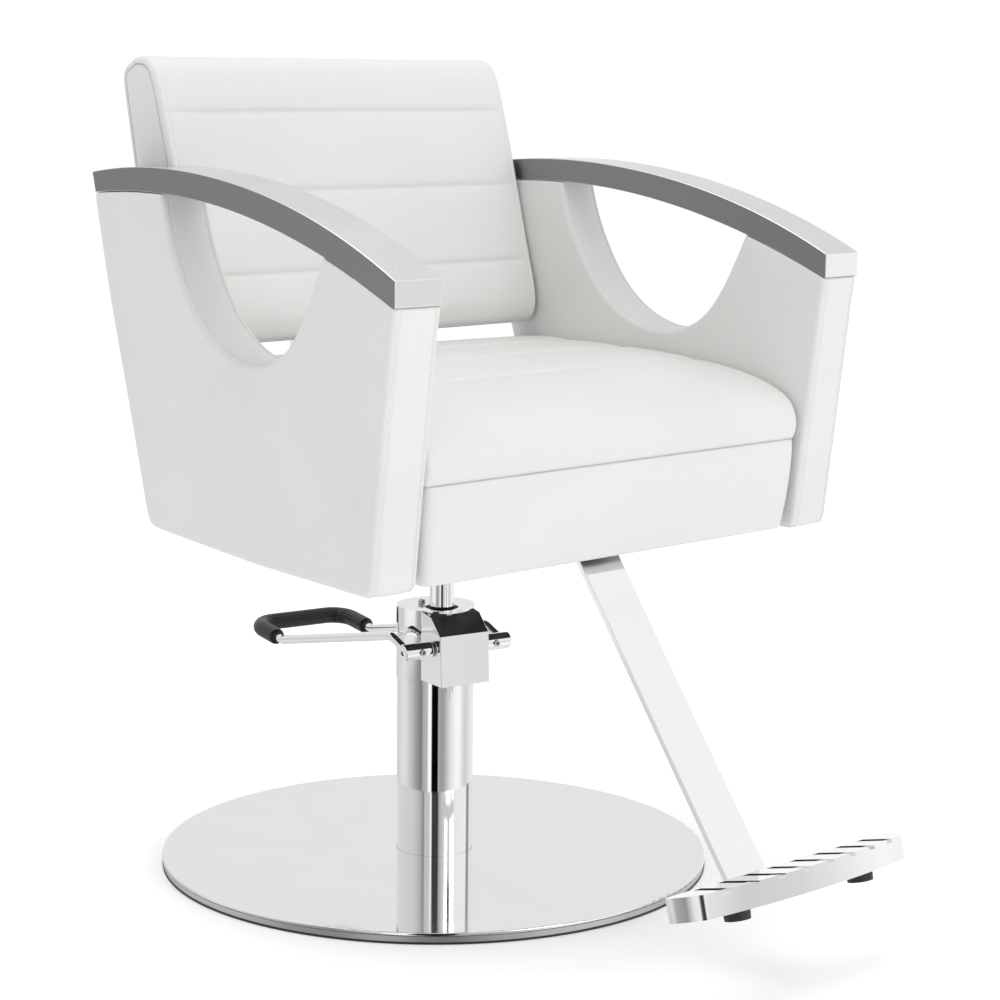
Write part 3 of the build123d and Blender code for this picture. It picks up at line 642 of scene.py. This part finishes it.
def rim_stations():
    """(depth, share of the edge inset, extra inset) across the panel's rim."""
    found = []
    for angle in np.radians(np.arange(0, 91, 15)):
        found.append((roll - roll * math.cos(angle), 1 - math.sin(angle), 0.0))
    found += [(seam_depth + shift, 0.0, sink) for shift, sink in seam_groove]
    bulge = [(thick * t, 0.0, -0.0009 * (1 - (2 * t - 1) ** 2) + 0.0003) for t in (0.26, 0.34, 0.42, 0.5)]
    half = found + bulge
    other = [(thick - w, q, e) for w, q, e in reversed(half[:-1])]
    return half + other


def build_panel():
    """Left panel's mesh, its pinned points, and the two runs of stitching on its rim."""
    stations = rim_stations()
    around = len(panel_loop)
    points = []
    for depth, share, extra in stations:
        ring = inset(panel_loop, edge_inset * share)
        if extra:
            ring = inset(ring, np.where(top_edge, 0.0, extra))
        points.append(on_panel(ring, depth))
    inner, triangles = filled(inset(panel_loop, edge_inset), 0.0085)
    faces = ring_faces(len(stations), around)
    base = len(stations) * around
    all_points = np.concatenate(points + [on_panel(inner, 0.0), on_panel(inner, thick)])
    count = len(inner)
    final = (len(stations) - 1) * around
    for tri in triangles:
        faces.append(tuple(v if v < around else base + v - around for v in tri))
        faces.append(tuple(final + v if v < around else base + count + v - around for v in reversed(tri)))
    rise = np.zeros(len(all_points))
    away = edge_distance(np.concatenate([inner, inner]), inset(panel_loop, edge_inset))
    rise[base:] = panel_crown * (1 - np.exp(-(away / 0.035) ** 1.5))
    side = np.ones(len(all_points))
    side[base + count:] = -1
    all_points = all_points + np.outer(rise * side, np.array(outward))
    mesh = mesh_from("side_panel_left", all_points, faces)
    pinned = np.ones(len(all_points), bool)
    pinned[base:] = False
    ring = inset(panel_loop, -0.00005)
    stitch_depths = (seam_depth - stitch_shift, thick - seam_depth + stitch_shift)
    return mesh, pinned, [on_panel(ring, depth) for depth in stitch_depths]


def mirrored(source, name):
    mesh = source.copy()
    mesh.name = name
    mesh.transform(Matrix.Scale(-1, 4, (1, 0, 0)))
    mesh.flip_normals()
    return mesh


stitch_pitch = 0.0060
stitch_long = 0.0042
stitch_radius = 0.00027
stitch_profile = ((0.0, 0.25), (0.18, 0.85), (0.5, 1.0), (0.82, 0.85), (1.0, 0.25))
stitch_sides = 6


def stitches(name, runs, kept):
    """Short raised threads along each closed run of points, where both points beside it are kept."""
    points, faces = [], []
    angles = np.linspace(0, 2 * math.pi, stitch_sides, endpoint=False)
    side = np.array(outward)
    tube = ring_faces(len(stitch_profile), stitch_sides)
    last_ring = (len(stitch_profile) - 1) * stitch_sides
    tube += [tuple(reversed(range(stitch_sides))), tuple(last_ring + j for j in range(stitch_sides))]
    for ring in runs:
        length = lengths(ring)
        for start in np.arange(0.0, length[-1] - stitch_long, stitch_pitch):
            place = int(np.searchsorted(length, start + stitch_long / 2)) % len(ring)
            if not (kept[place] and kept[place - 1]):
                continue
            spots = along_loop([start + stitch_long * t for t, _ in stitch_profile], ring)
            way = (spots[-1] - spots[0]) / np.linalg.norm(spots[-1] - spots[0])
            lift = np.cross(way, side)
            faces += [tuple(len(points) + v for v in face) for face in tube]
            for spot, (_, share) in zip(spots, stitch_profile):
                for a in angles:
                    points.append(spot + stitch_radius * share * (math.cos(a) * side + math.sin(a) * lift))
    return mesh_from(name, points, faces)


def upholstery(name, mesh):
    return piece(name, mesh, materials["white_leather"], "chair")


panel_mesh, panel_pins, panel_seams = build_panel()
left_panel = upholstery("side_panel_left", panel_mesh)
inflate(left_panel, panel_pins, 0.0022)
right_panel = upholstery("side_panel_right", mirrored(panel_mesh, "side_panel_right"))
for side, obj in (("left", left_panel), ("right", right_panel)):
    subdivide(obj)
    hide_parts("panel_" + side, "panel_core_" + side)

clear_of_arm = ~top_edge & ~np.roll(top_edge, 1)
stitch_mesh = stitches("panel_stitching_left", panel_seams, clear_of_arm)
right_stitches = mirrored(stitch_mesh, "panel_stitching_right")
piece("panel_stitching_left", stitch_mesh, stitch_material, "chair")
piece("panel_stitching_right", right_stitches, stitch_material, "chair")


# ----------------------------------------------------------- seat upholstery
def plan_half(node, height, spare):
    """Half width of a CAD node at one height, as a straight function of y that follows the panels."""
    ring = cut_outline(node, (0, 0, height), (0, 0, 1))
    wide = np.abs(ring[:, 0])
    tip = wide.max()
    tip_y = ring[np.argmax(wide), 1]
    slope = math.tan(toe)
    return lambda place: tip - slope * (place - tip_y) - spare


def side_stations(flat, edge, welt, gusset):
    """(share of the half width, outward, inset) from a cushion's middle to its end panel."""
    found = [(k / flat, 0.0, 0.0) for k in range(flat)]
    seam = ((-0.0044, 0.0), (-0.0034, 0.0), (-0.0026, 0.5), (-0.0020, 1.0), (-0.0014, 0.5), (-0.0006, 0.0),
            (0.0, 0.0))
    found += [(1.0, out, welt * share) for out, share in seam]
    turn = np.radians((15, 30, 45, 60, 75, 90))
    found += [(1.0, edge * math.sin(a), edge * (1 - math.cos(a))) for a in turn]
    groove = ((0.0, 0.0), (0.6, 0.0005), (1.0, 0.0010), (0.6, 0.0015), (0.0, 0.0022), (0.0, 0.0040))
    found += [(1.0, edge - gusset * share, edge * 1.10 + deep) for share, deep in groove]
    return found


ring_step = 0.010


def loft(name, loop, half_at, edge, push, waist=0.0, welt=0.0, gusset=0.0):
    """Closed cushion from a side outline carried across X, rounded at both ends.

    push gives each outline point's outward move at a share of the half width. waist pulls the ends
    in at mid-height, welt is the depth of a seam where the rounding starts, gusset of one round the
    end panel.
    """
    flat = int(half_at(float(loop[:, 0].mean())) / ring_step)
    side_line = side_stations(flat, edge, welt, gusset)
    order = [(-s, out, deep) for s, out, deep in reversed(side_line[1:])] + side_line
    rings = []
    for s, out, deep in order:
        moved = inset(loop, deep - push(abs(s)))
        half = np.array([half_at(y) for y in moved[:, 0]])
        height = (moved[:, 1] - loop[:, 1].min()) / np.ptp(loop[:, 1])
        pulled = waist * np.sin(np.pi * np.clip(height, 0, 1))
        x = s * (half - edge) + math.copysign(1, s) * (out - pulled * abs(s) ** 6)
        rings.append(np.stack([x, moved[:, 0], moved[:, 1]], 1))
    around = len(loop)
    faces = ring_faces(len(rings), around)
    points = np.concatenate(rings)
    inner, triangles = filled(rings[-1][:, 1:], 0.011)
    count = len(inner)
    base = len(rings) * around
    last = (len(rings) - 1) * around
    half = np.array([half_at(y) for y in inner[:, 0]])
    height = (inner[:, 1] - loop[:, 1].min()) / np.ptp(loop[:, 1])
    half = half - waist * np.sin(np.pi * np.clip(height, 0, 1))
    right = np.stack([half, inner[:, 0], inner[:, 1]], 1)
    points = np.concatenate([points, right * (-1, 1, 1), right])
    for tri in triangles:
        faces.append(tuple(v if v < around else base + v - around for v in reversed(tri)))
        faces.append(tuple(last + v if v < around else base + count + v - around for v in tri))
    return mesh_from(name, points, faces)


channel_width = 0.0022


def channel_push(places, seams, sink, puff):
    """Outward move of each outline point: sewn channels sunk, the padding between puffed."""
    move = np.zeros(len(places))
    for a, b in zip(seams, seams[1:]):
        inside = (places > a) & (places < b)
        t = (places[inside] - a) / (b - a)
        near = np.minimum(t, 1 - t) * (b - a)
        move[inside] = puff * (1 - np.exp(-near / 0.010))
    for seam in seams[1:-1]:
        move -= sink * np.exp(-((places - seam) / channel_width) ** 2)
    return move


def side_section(node, x):
    """Outline of a CAD node, in y and z, where a plane across the chair cuts it."""
    return counter_clockwise(cut_outline(node, (x, 0, 0), (1, 0, 0))[:, 1:])


# seat cushion: side outline from the CAD, four sewn channels across the top
seat_low, seat_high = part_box("seat_cushion")
dense_seat = starting_at(side_section("seat_cushion", 0.0101), (seat_low.y, seat_low.z))
channel_offsets = (0.133, 0.230, 0.325, 0.420)  # from the cushion's front
seat_channels = [seat_low.y + offset for offset in channel_offsets]
channel_held = 0.004                            # the padding is pinned this near a sewn channel
seat_marks = []
for line in seat_channels:
    place = [m for m, p, q in zip(lengths(dense_seat), dense_seat, np.roll(dense_seat, -1, 0))
             if p[1] > seat_low.z + 0.05 and (p[0] - line) * (q[0] - line) <= 0]
    seat_marks.append(float(place[0]))
seat_marks = sorted(seat_marks)
seat_loop, seat_places = resampled(dense_seat, 0.0065, keep=25.0, marks=seat_marks)
seat_half = plan_half("seat_cushion", 0.5, 0.0004)
on_top = seat_loop[:, 1] > seat_low.z + 0.012


def seat_push(s):
    """Outward move of the seat's outline points at a share s of the half width."""
    ends = [seat_marks[0] - 0.105] + seat_marks + [seat_marks[-1] + 0.11]
    sunk = channel_push(seat_places, ends, 0.0017, 0.0)
    move = sunk * (1 + 0.8 * s ** 14) + channel_push(seat_places, ends, 0.0, 0.0016) * (1 - 0.3 * s ** 10)
    crown = 0.0025 * (1 - s ** 2)
    return np.where(on_top, move + crown, 0.0)


seat_mesh = loft("seat_cushion_soft", seat_loop, lambda y: seat_half(y) + 0.0024, 0.009, seat_push,
                 waist=0.0012, welt=0.0006)
seat = upholstery("seat_cushion_soft", seat_mesh)
seat_points = np.array([v.co for v in seat_mesh.vertices], float)
seat_held = (seat_points[:, 2] < seat_low.z + 0.03) | (np.abs(seat_points[:, 0]) > seat_high.x - 0.022)
for line in seat_channels:
    seat_held |= np.abs(seat_points[:, 1] - line) < channel_held
inflate(seat, seat_held, 0.0018)
subdivide(seat)
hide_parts("seat_cushion")


# padded wall round the seat, under the cushion
box_low, box_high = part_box("seat_box")


def wall_plan(front, back, half_front, half_back):
    """Plan outline of the wall at one height, with round corners."""
    corners = [(-half_front, front), (half_front, front), (half_back, back), (-half_back, back)]
    corners = [np.array(c) for c in corners]
    line = []
    for i, corner in enumerate(corners):
        line += corner_arc(corners[i - 1], corner, corners[(i + 1) % 4], 0.0045, 9)
    return np.array(line)


def evenly(loop, count):
    """A closed loop as evenly spaced points."""
    return along_loop(np.linspace(0, 1, count, endpoint=False) * lengths(loop)[-1], loop)


def wall():
    """Padded wall: plan outlines from the top down outside and back up inside, joined in rings."""
    half = plan_half("seat_box", box_high.z - 0.01, 0.0008)
    front, back = box_low.y, box_high.y
    low_front, low_back = front + 0.010, back - 0.006
    line = wall_plan(front, back, half(front), half(back))
    low_line = wall_plan(low_front, low_back, half(low_front) - 0.006, half(low_back) - 0.004)
    around = int(round(lengths(line)[-1] / 0.009))
    line, low_line = evenly(line, around), evenly(low_line, around)
    high = box_high.z + 0.0010
    deep = 0.0125
    # (share of the height from the top, inset): outer face, rounded lower edge, inner face
    rows = [(0.0, 0.0016), (0.008, 0.0008), (0.018, 0.0002), (0.04, 0.0)]
    rows += [(float(t), -0.0022 * math.sin(math.pi * t) ** 0.8) for t in np.linspace(0.08, 0.93, 12)]
    rows += [(0.965, -0.0002), (0.985, 0.0006), (0.995, 0.0016), (1.0, 0.0034)]
    rows += [(1.0, deep - 0.003), (0.985, deep - 0.001), (0.94, deep), (0.5, deep), (0.03, deep)]
    rows.append((0.0, deep - 0.001))
    rings = []
    for t, pull in rows:
        plan_line = line * (1 - t) + low_line * t
        plan_line[:, 0] = line[:, 0] + (low_line[:, 0] - line[:, 0]) * t ** 1.5
        ring = inset(plan_line, pull)
        floor_z = box_low.z + np.clip((ring[:, 1] - low_front) / (low_back - low_front), 0, 1) * 0.012
        rings.append(np.stack([ring[:, 0], ring[:, 1], high + (floor_z - high) * t], 1))
    faces = ring_faces(len(rings), around)
    last = (len(rings) - 1) * around
    faces += [(last + j, last + (j + 1) % around, (j + 1) % around, j) for j in range(around)]
    return mesh_from("seat_wall", np.concatenate(rings), faces)


wall_piece = upholstery("seat_wall", wall())
subdivide(wall_piece)
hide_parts("seat_box")


# the back: front cushion and rear cover sewn into one padded form
def joined_back():
    """Side outline of cushion and cover together, counter-clockwise, without the line they share."""
    chains = [side_section(node, 0.2261) for node in ("back_cushion", "back_cover")]
    cushion, shell = chains
    top = cushion[np.argmax(cushion[:, 0])]
    bottom = shell[np.argmin(shell[:, 1])]
    way = (top - bottom) / np.linalg.norm(top - bottom)
    across = np.array([way[1], -way[0]])
    kept = []
    for loop in chains:
        off = np.abs((loop - bottom) @ across)
        far = (loop - bottom) @ way
        inside = (far > -0.001) & (far < np.linalg.norm(top - bottom) + 0.001)
        keep = ~((off < 0.0012) & inside)
        start = int(np.nonzero(keep & ~np.roll(keep, 1))[0][0])
        order = np.roll(np.arange(len(loop)), -start)
        kept.append(loop[[i for i in order if keep[i]]])
    whole = np.concatenate(kept)
    # hollow points at the top and bottom joins are dropped, the worst first
    for _ in range(200):
        a, c = np.roll(whole, 1, 0), np.roll(whole, -1, 0)
        before, after = whole - a, c - whole
        turn = before[:, 0] * after[:, 1] - before[:, 1] * after[:, 0]
        edge = (whole[:, 1] > whole[:, 1].max() - 0.026) | (whole[:, 1] < whole[:, 1].min() + 0.012)
        bad = np.nonzero((turn < 0) & edge)[0]
        if len(bad) == 0:
            break
        whole = np.delete(whole, bad[np.argmin(turn[bad])], 0)
    return whole


back_low, back_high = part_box("back_cushion")
back_start = (0.19, 0.63)                       # (y, z) where its outline starts
dense_back, _ = resampled(joined_back(), 0.0015, keep=200.0)
back_heights = dense_back[:, 1]
straight_run = (back_heights < back_heights.max() - 0.040) & (back_heights > back_heights.min() + 0.020)
dense_back = softened(dense_back, straight_run, 22)
dense_back = starting_at(dense_back, back_start)
seam_drops = (0.2267, 0.1411, 0.0570)           # below the back's top
back_seams_z = [back_high.z - drop for drop in seam_drops]
back_marks = []
for line in back_seams_z:
    found = [(p[0], m) for m, p, q in zip(lengths(dense_back), dense_back, np.roll(dense_back, -1, 0))
             if (p[1] - line) * (q[1] - line) <= 0]
    back_marks.append(float(min(found)[1]))
back_marks = sorted(back_marks)
back_loop, back_places = resampled(dense_back, 0.0065, keep=200.0, marks=back_marks)
back_half = back_high.x


def back_push(s):
    """Outward move of the back's outline points at a share s of the half width."""
    front_start = back_marks[0] - 0.068
    front_end = back_marks[-1] + 0.055
    move = channel_push(back_places, [front_start] + back_marks + [front_end], 0.0023, 0.0018)
    fade = 1 - 0.9 * s ** 10
    on_front = (back_places > front_start) & (back_places < front_end)
    crown = np.where(on_front, 0.0022 * (1 - s ** 2), 0.0)
    total = float(lengths(dense_back)[-1])
    behind = np.mod(back_places - front_end, total) / (total - front_end + front_start)
    rear = np.clip((behind - 0.12) / 0.2, 0, 1) * np.clip((1.0 - behind) / 0.05, 0, 1)
    return move * fade + crown + np.where(on_front, 0.0, 0.0036 * rear * rear * (3 - 2 * rear))


back_mesh = loft("back_soft", back_loop, lambda y: back_half + 0.0048, 0.0062, back_push,
                 welt=0.0008, gusset=0.0034)
back = upholstery("back_soft", back_mesh)
back_points = np.array([v.co for v in back_mesh.vertices], float)
back_held = np.abs(back_points[:, 0]) > back_half - 0.016
back_held |= (back_points[:, 2] > back_high.z - 0.016) | (back_points[:, 2] < back_low.z + 0.030)
for line in back_seams_z:
    back_held |= np.abs(back_points[:, 2] - line) < channel_held
inflate(back, back_held, 0.0018)
subdivide(back)
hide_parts("back_cushion", "back_board", "back_cover")


# ------------------------------------------------------------- ribbed grip
lever_yaw = math.radians(10.0)    # the lever points this far to the side of straight back
lever_half = 0.060                # half the distance between the lever's two bars
bar_bend = np.array((0.252, 0.2082))      # (distance from the axis, height) where the bars turn up
bar_end = np.array((0.322, 0.2142))       # and where the cross bar lies
grip_start = 0.013                # how far behind the bend the grip starts


def lever_points():
    """Corner points of the grip's centre line on the lever bar."""
    right = np.array((math.cos(lever_yaw), -math.sin(lever_yaw), 0))
    rear = np.array((math.sin(lever_yaw), math.cos(lever_yaw), 0))
    start = bar_bend + (bar_end - bar_bend) / np.linalg.norm(bar_end - bar_bend) * grip_start
    side = [(-lever_half, start), (-lever_half, bar_end), (lever_half, bar_end), (lever_half, start)]
    return [right * x + rear * p[0] + np.array((0, 0, p[1])) for x, p in side]


def grip():
    """Rubber sleeve with lengthwise flutes and a plain rolled lip at each end."""
    path = rounded(lever_points(), 0.024, 0.0022)
    flutes = 14
    lip_share, plain_share = 0.012, 0.03
    angles = np.linspace(0, 2 * math.pi, flutes * 8, endpoint=False)
    fluted = 0.0095 - 0.0007 * np.clip(np.cos(angles * flutes), -0.2, 1) ** 2
    plain = np.full(len(angles), 0.0094)

    def section(t):
        near_end = min(t, 1 - t)
        lip = 1.0 if near_end > lip_share else 0.93 + 0.07 * math.sin(math.pi / 2 * near_end / lip_share)
        return (plain if near_end < plain_share else fluted) * lip, angles
    return sweep_along("ribbed_grip", path, section)


grip_piece = piece("ribbed_grip", grip(), materials["grip_rubber"], "lever")
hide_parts("lever_grip")

# ---------------------------------------------------------------- the studio
scene = bpy.context.scene
floor_mesh = mesh_from("floor", [(-60, -60, 0), (60, -60, 0), (60, 60, 0), (-60, 60, 0)], [(0, 1, 2, 3)])
floor = bpy.data.objects.new("floor", floor_mesh)
scene.collection.objects.link(floor)
floor.location.z = -0.0006
paper = Shader("floor_paper", Specular_IOR_Level=0.1)
fibre = paper.noise(300.0, 4.0, 0.6)
floor_mesh.materials.append(paper.set(
    Base_Color=paper.colours(fibre, [(0.3, (0.93, 0.93, 0.93)), (0.7, (0.95, 0.95, 0.95))]),
    Roughness=paper.spread(fibre, 0.85, 0.95), Normal=paper.bump(fibre, 0.05, 0.0003)))
# the floor glows a little and is left out of reflections, to come nearer the photograph's tones
paper.bsdf.inputs["Emission Color"].default_value = (1, 1, 1, 1)
paper.bsdf.inputs["Emission Strength"].default_value = 0.22
floor.visible_glossy = False

world = bpy.data.worlds.new("studio")
scene.world = world
world.use_nodes = True
sky = world.node_tree
sky.nodes.clear()
out = sky.nodes.new("ShaderNodeOutputWorld")
coords = sky.nodes.new("ShaderNodeTexCoord").outputs["Generated"]
split = sky.nodes.new("ShaderNodeSeparateXYZ")
sky.links.new(coords, split.inputs[0])
x, y, z = split.outputs
view_x, view_y = -0.668, -0.744           # level direction from the chair to the photograph's camera


def weighted(a, share_a, b, share_b):
    parts = [math_node(sky, "MULTIPLY", value, share) for value, share in ((a, share_a), (b, share_b))]
    return math_node(sky, "ADD", *parts)


across = weighted(x, -view_y, y, view_x)
along = weighted(x, view_x, y, view_y)
bearing = math_node(sky, "DIVIDE", math_node(sky, "ARCTAN2", across, along), 2 * math.pi)
turn_share = math_node(sky, "ADD", bearing, 0.5)


def by_bearing(levels):
    """Grey level by bearing from the photograph's camera, in degrees, more to the right of its picture."""
    return ramp_node(sky, turn_share, [(degrees / 360 + 0.5, (grey,) * 3) for degrees, grey in levels])


def mixed(fac, a, b):
    node = sky.nodes.new("ShaderNodeMix")
    node.data_type = "RGBA"
    sky.links.new(fac, node.inputs["Factor"])
    for socket, item in ((node.inputs["A"], a), (node.inputs["B"], b)):
        if isinstance(item, tuple):
            socket.default_value = item
        else:
            sky.links.new(item, socket)
    return node.outputs["Result"]


# Rings of grey with black flags, seen in the chrome. All three are fitted to grey tones sampled from the
# photograph. Most stops of low_wall are such samples: tones across the pump column, divided by 0.93 for
# the chrome, each at its mirror angle. They are photograph data.
low_wall = by_bearing([
    (-180, 0.50), (-172, 0.58), (-134, 0.69), (-114, 0.76), (-99, 0.75), (-86, 0.62), (-75, 0.53),
    (-64, 0.40), (-53, 0.30), (-44, 0.22), (-40, 0.24), (-36, 0.42), (-22, 0.50), (-20, 1.0),
    (-11, 1.0), (-9.5, 0.002), (8.5, 0.002), (10.5, 0.42), (20, 0.32), (30, 0.40), (39, 0.60),
    (49, 0.78), (59, 0.90), (69, 0.98), (81, 0.96), (93, 0.74), (107, 0.64), (124, 0.78),
    (148, 0.85), (165, 0.80), (180, 0.50)])
middle_wall = by_bearing([
    (-180, 0.95), (-160, 0.90), (-150, 0.62), (-110, 0.62), (-98, 0.86), (-80, 0.93),
    (-66, 0.93), (-54, 0.40), (-34, 0.30), (-20, 0.80), (-9, 0.90), (-7, 0.05), (9, 0.05),
    (12, 0.50), (40, 0.95), (58, 0.85), (70, 0.64), (84, 0.70), (96, 0.84), (108, 0.97),
    (150, 0.85), (165, 0.95), (180, 0.95)])
high_wall = by_bearing([
    (-180, 0.80), (-110, 0.72), (-72, 0.68), (-56, 0.60), (-42, 0.46), (-36, 0.30), (-32, 0.30),
    (-30.5, 0.58), (-15, 0.62), (-13.5, 1.0), (-9.5, 1.0), (-8, 0.05), (10.5, 0.05), (12.5, 0.40), (38, 0.90),
    (110, 0.95), (116, 0.30), (126, 0.30), (130, 0.85), (180, 0.80)])


def above(low, high):
    """0 below one height on the sky's sphere, 1 above another."""
    return range_node(sky, z, low, high, 0.0, 1.0, "SMOOTHSTEP")


walls = mixed(above(-0.232, -0.205), low_wall, middle_wall)
walls = mixed(above(0.06, 0.16), walls, high_wall)
level = mixed(above(0.40, 0.80), walls, (0.90, 0.90, 0.90, 1.0))
light = sky.nodes.new("ShaderNodeBackground")
light.inputs["Strength"].default_value = 1.05
sky.links.new(level, light.inputs["Color"])
# the camera itself sees plain white behind the object
seen = sky.nodes.new("ShaderNodeBackground")
seen.inputs["Color"].default_value = (1, 1, 1, 1)
seen.inputs["Strength"].default_value = 1.05
path = sky.nodes.new("ShaderNodeLightPath")
mix = sky.nodes.new("ShaderNodeMixShader")
sky.links.new(path.outputs["Is Camera Ray"], mix.inputs["Fac"])
sky.links.new(light.outputs[0], mix.inputs[1])
sky.links.new(seen.outputs[0], mix.inputs[2])
sky.links.new(mix.outputs[0], out.inputs["Surface"])


def lamp(name, place, target, size, power):
    data = bpy.data.lights.new(name, "AREA")
    data.shape = "RECTANGLE"
    data.size, data.size_y = size
    data.energy = power
    obj = bpy.data.objects.new(name, data)
    scene.collection.objects.link(obj)
    obj.location = place
    way = Vector(target) - Vector(place)
    obj.rotation_euler = way.to_track_quat("-Z", "Y").to_euler()


lamp("key_softbox", (0.2, -3.4, 1.5), (0, 0, 0.6), (1.8, 1.8), 20)
lamp("top_softbox", (-0.2, 0.2, 3.2), (0, 0, 0.4), (2.4, 2.4), 21)

# the camera, at the photograph's viewing angle
yaw, pitch, roll_angle = 0.75439, 0.16330, 0.010021
ahead = Vector((math.sin(yaw) * math.cos(pitch), math.cos(yaw) * math.cos(pitch), -math.sin(pitch)))
level_right = Vector((math.cos(yaw), -math.sin(yaw), 0))
level_up = level_right.cross(ahead)
right = level_right * math.cos(roll_angle) + level_up * math.sin(roll_angle)
up = level_up * math.cos(roll_angle) - level_right * math.sin(roll_angle)
turned = Matrix((right, up, -ahead)).transposed().to_4x4()
camera_data = bpy.data.cameras.new("camera")
camera_data.sensor_width = 36
camera_data.lens = 94.298
camera = bpy.data.objects.new("camera", camera_data)
scene.collection.objects.link(camera)
camera.matrix_world = Matrix.Translation((-1.86758, -2.07786, 0.86454)) @ turned
scene.camera = camera
scene.view_settings.view_transform = "Standard"
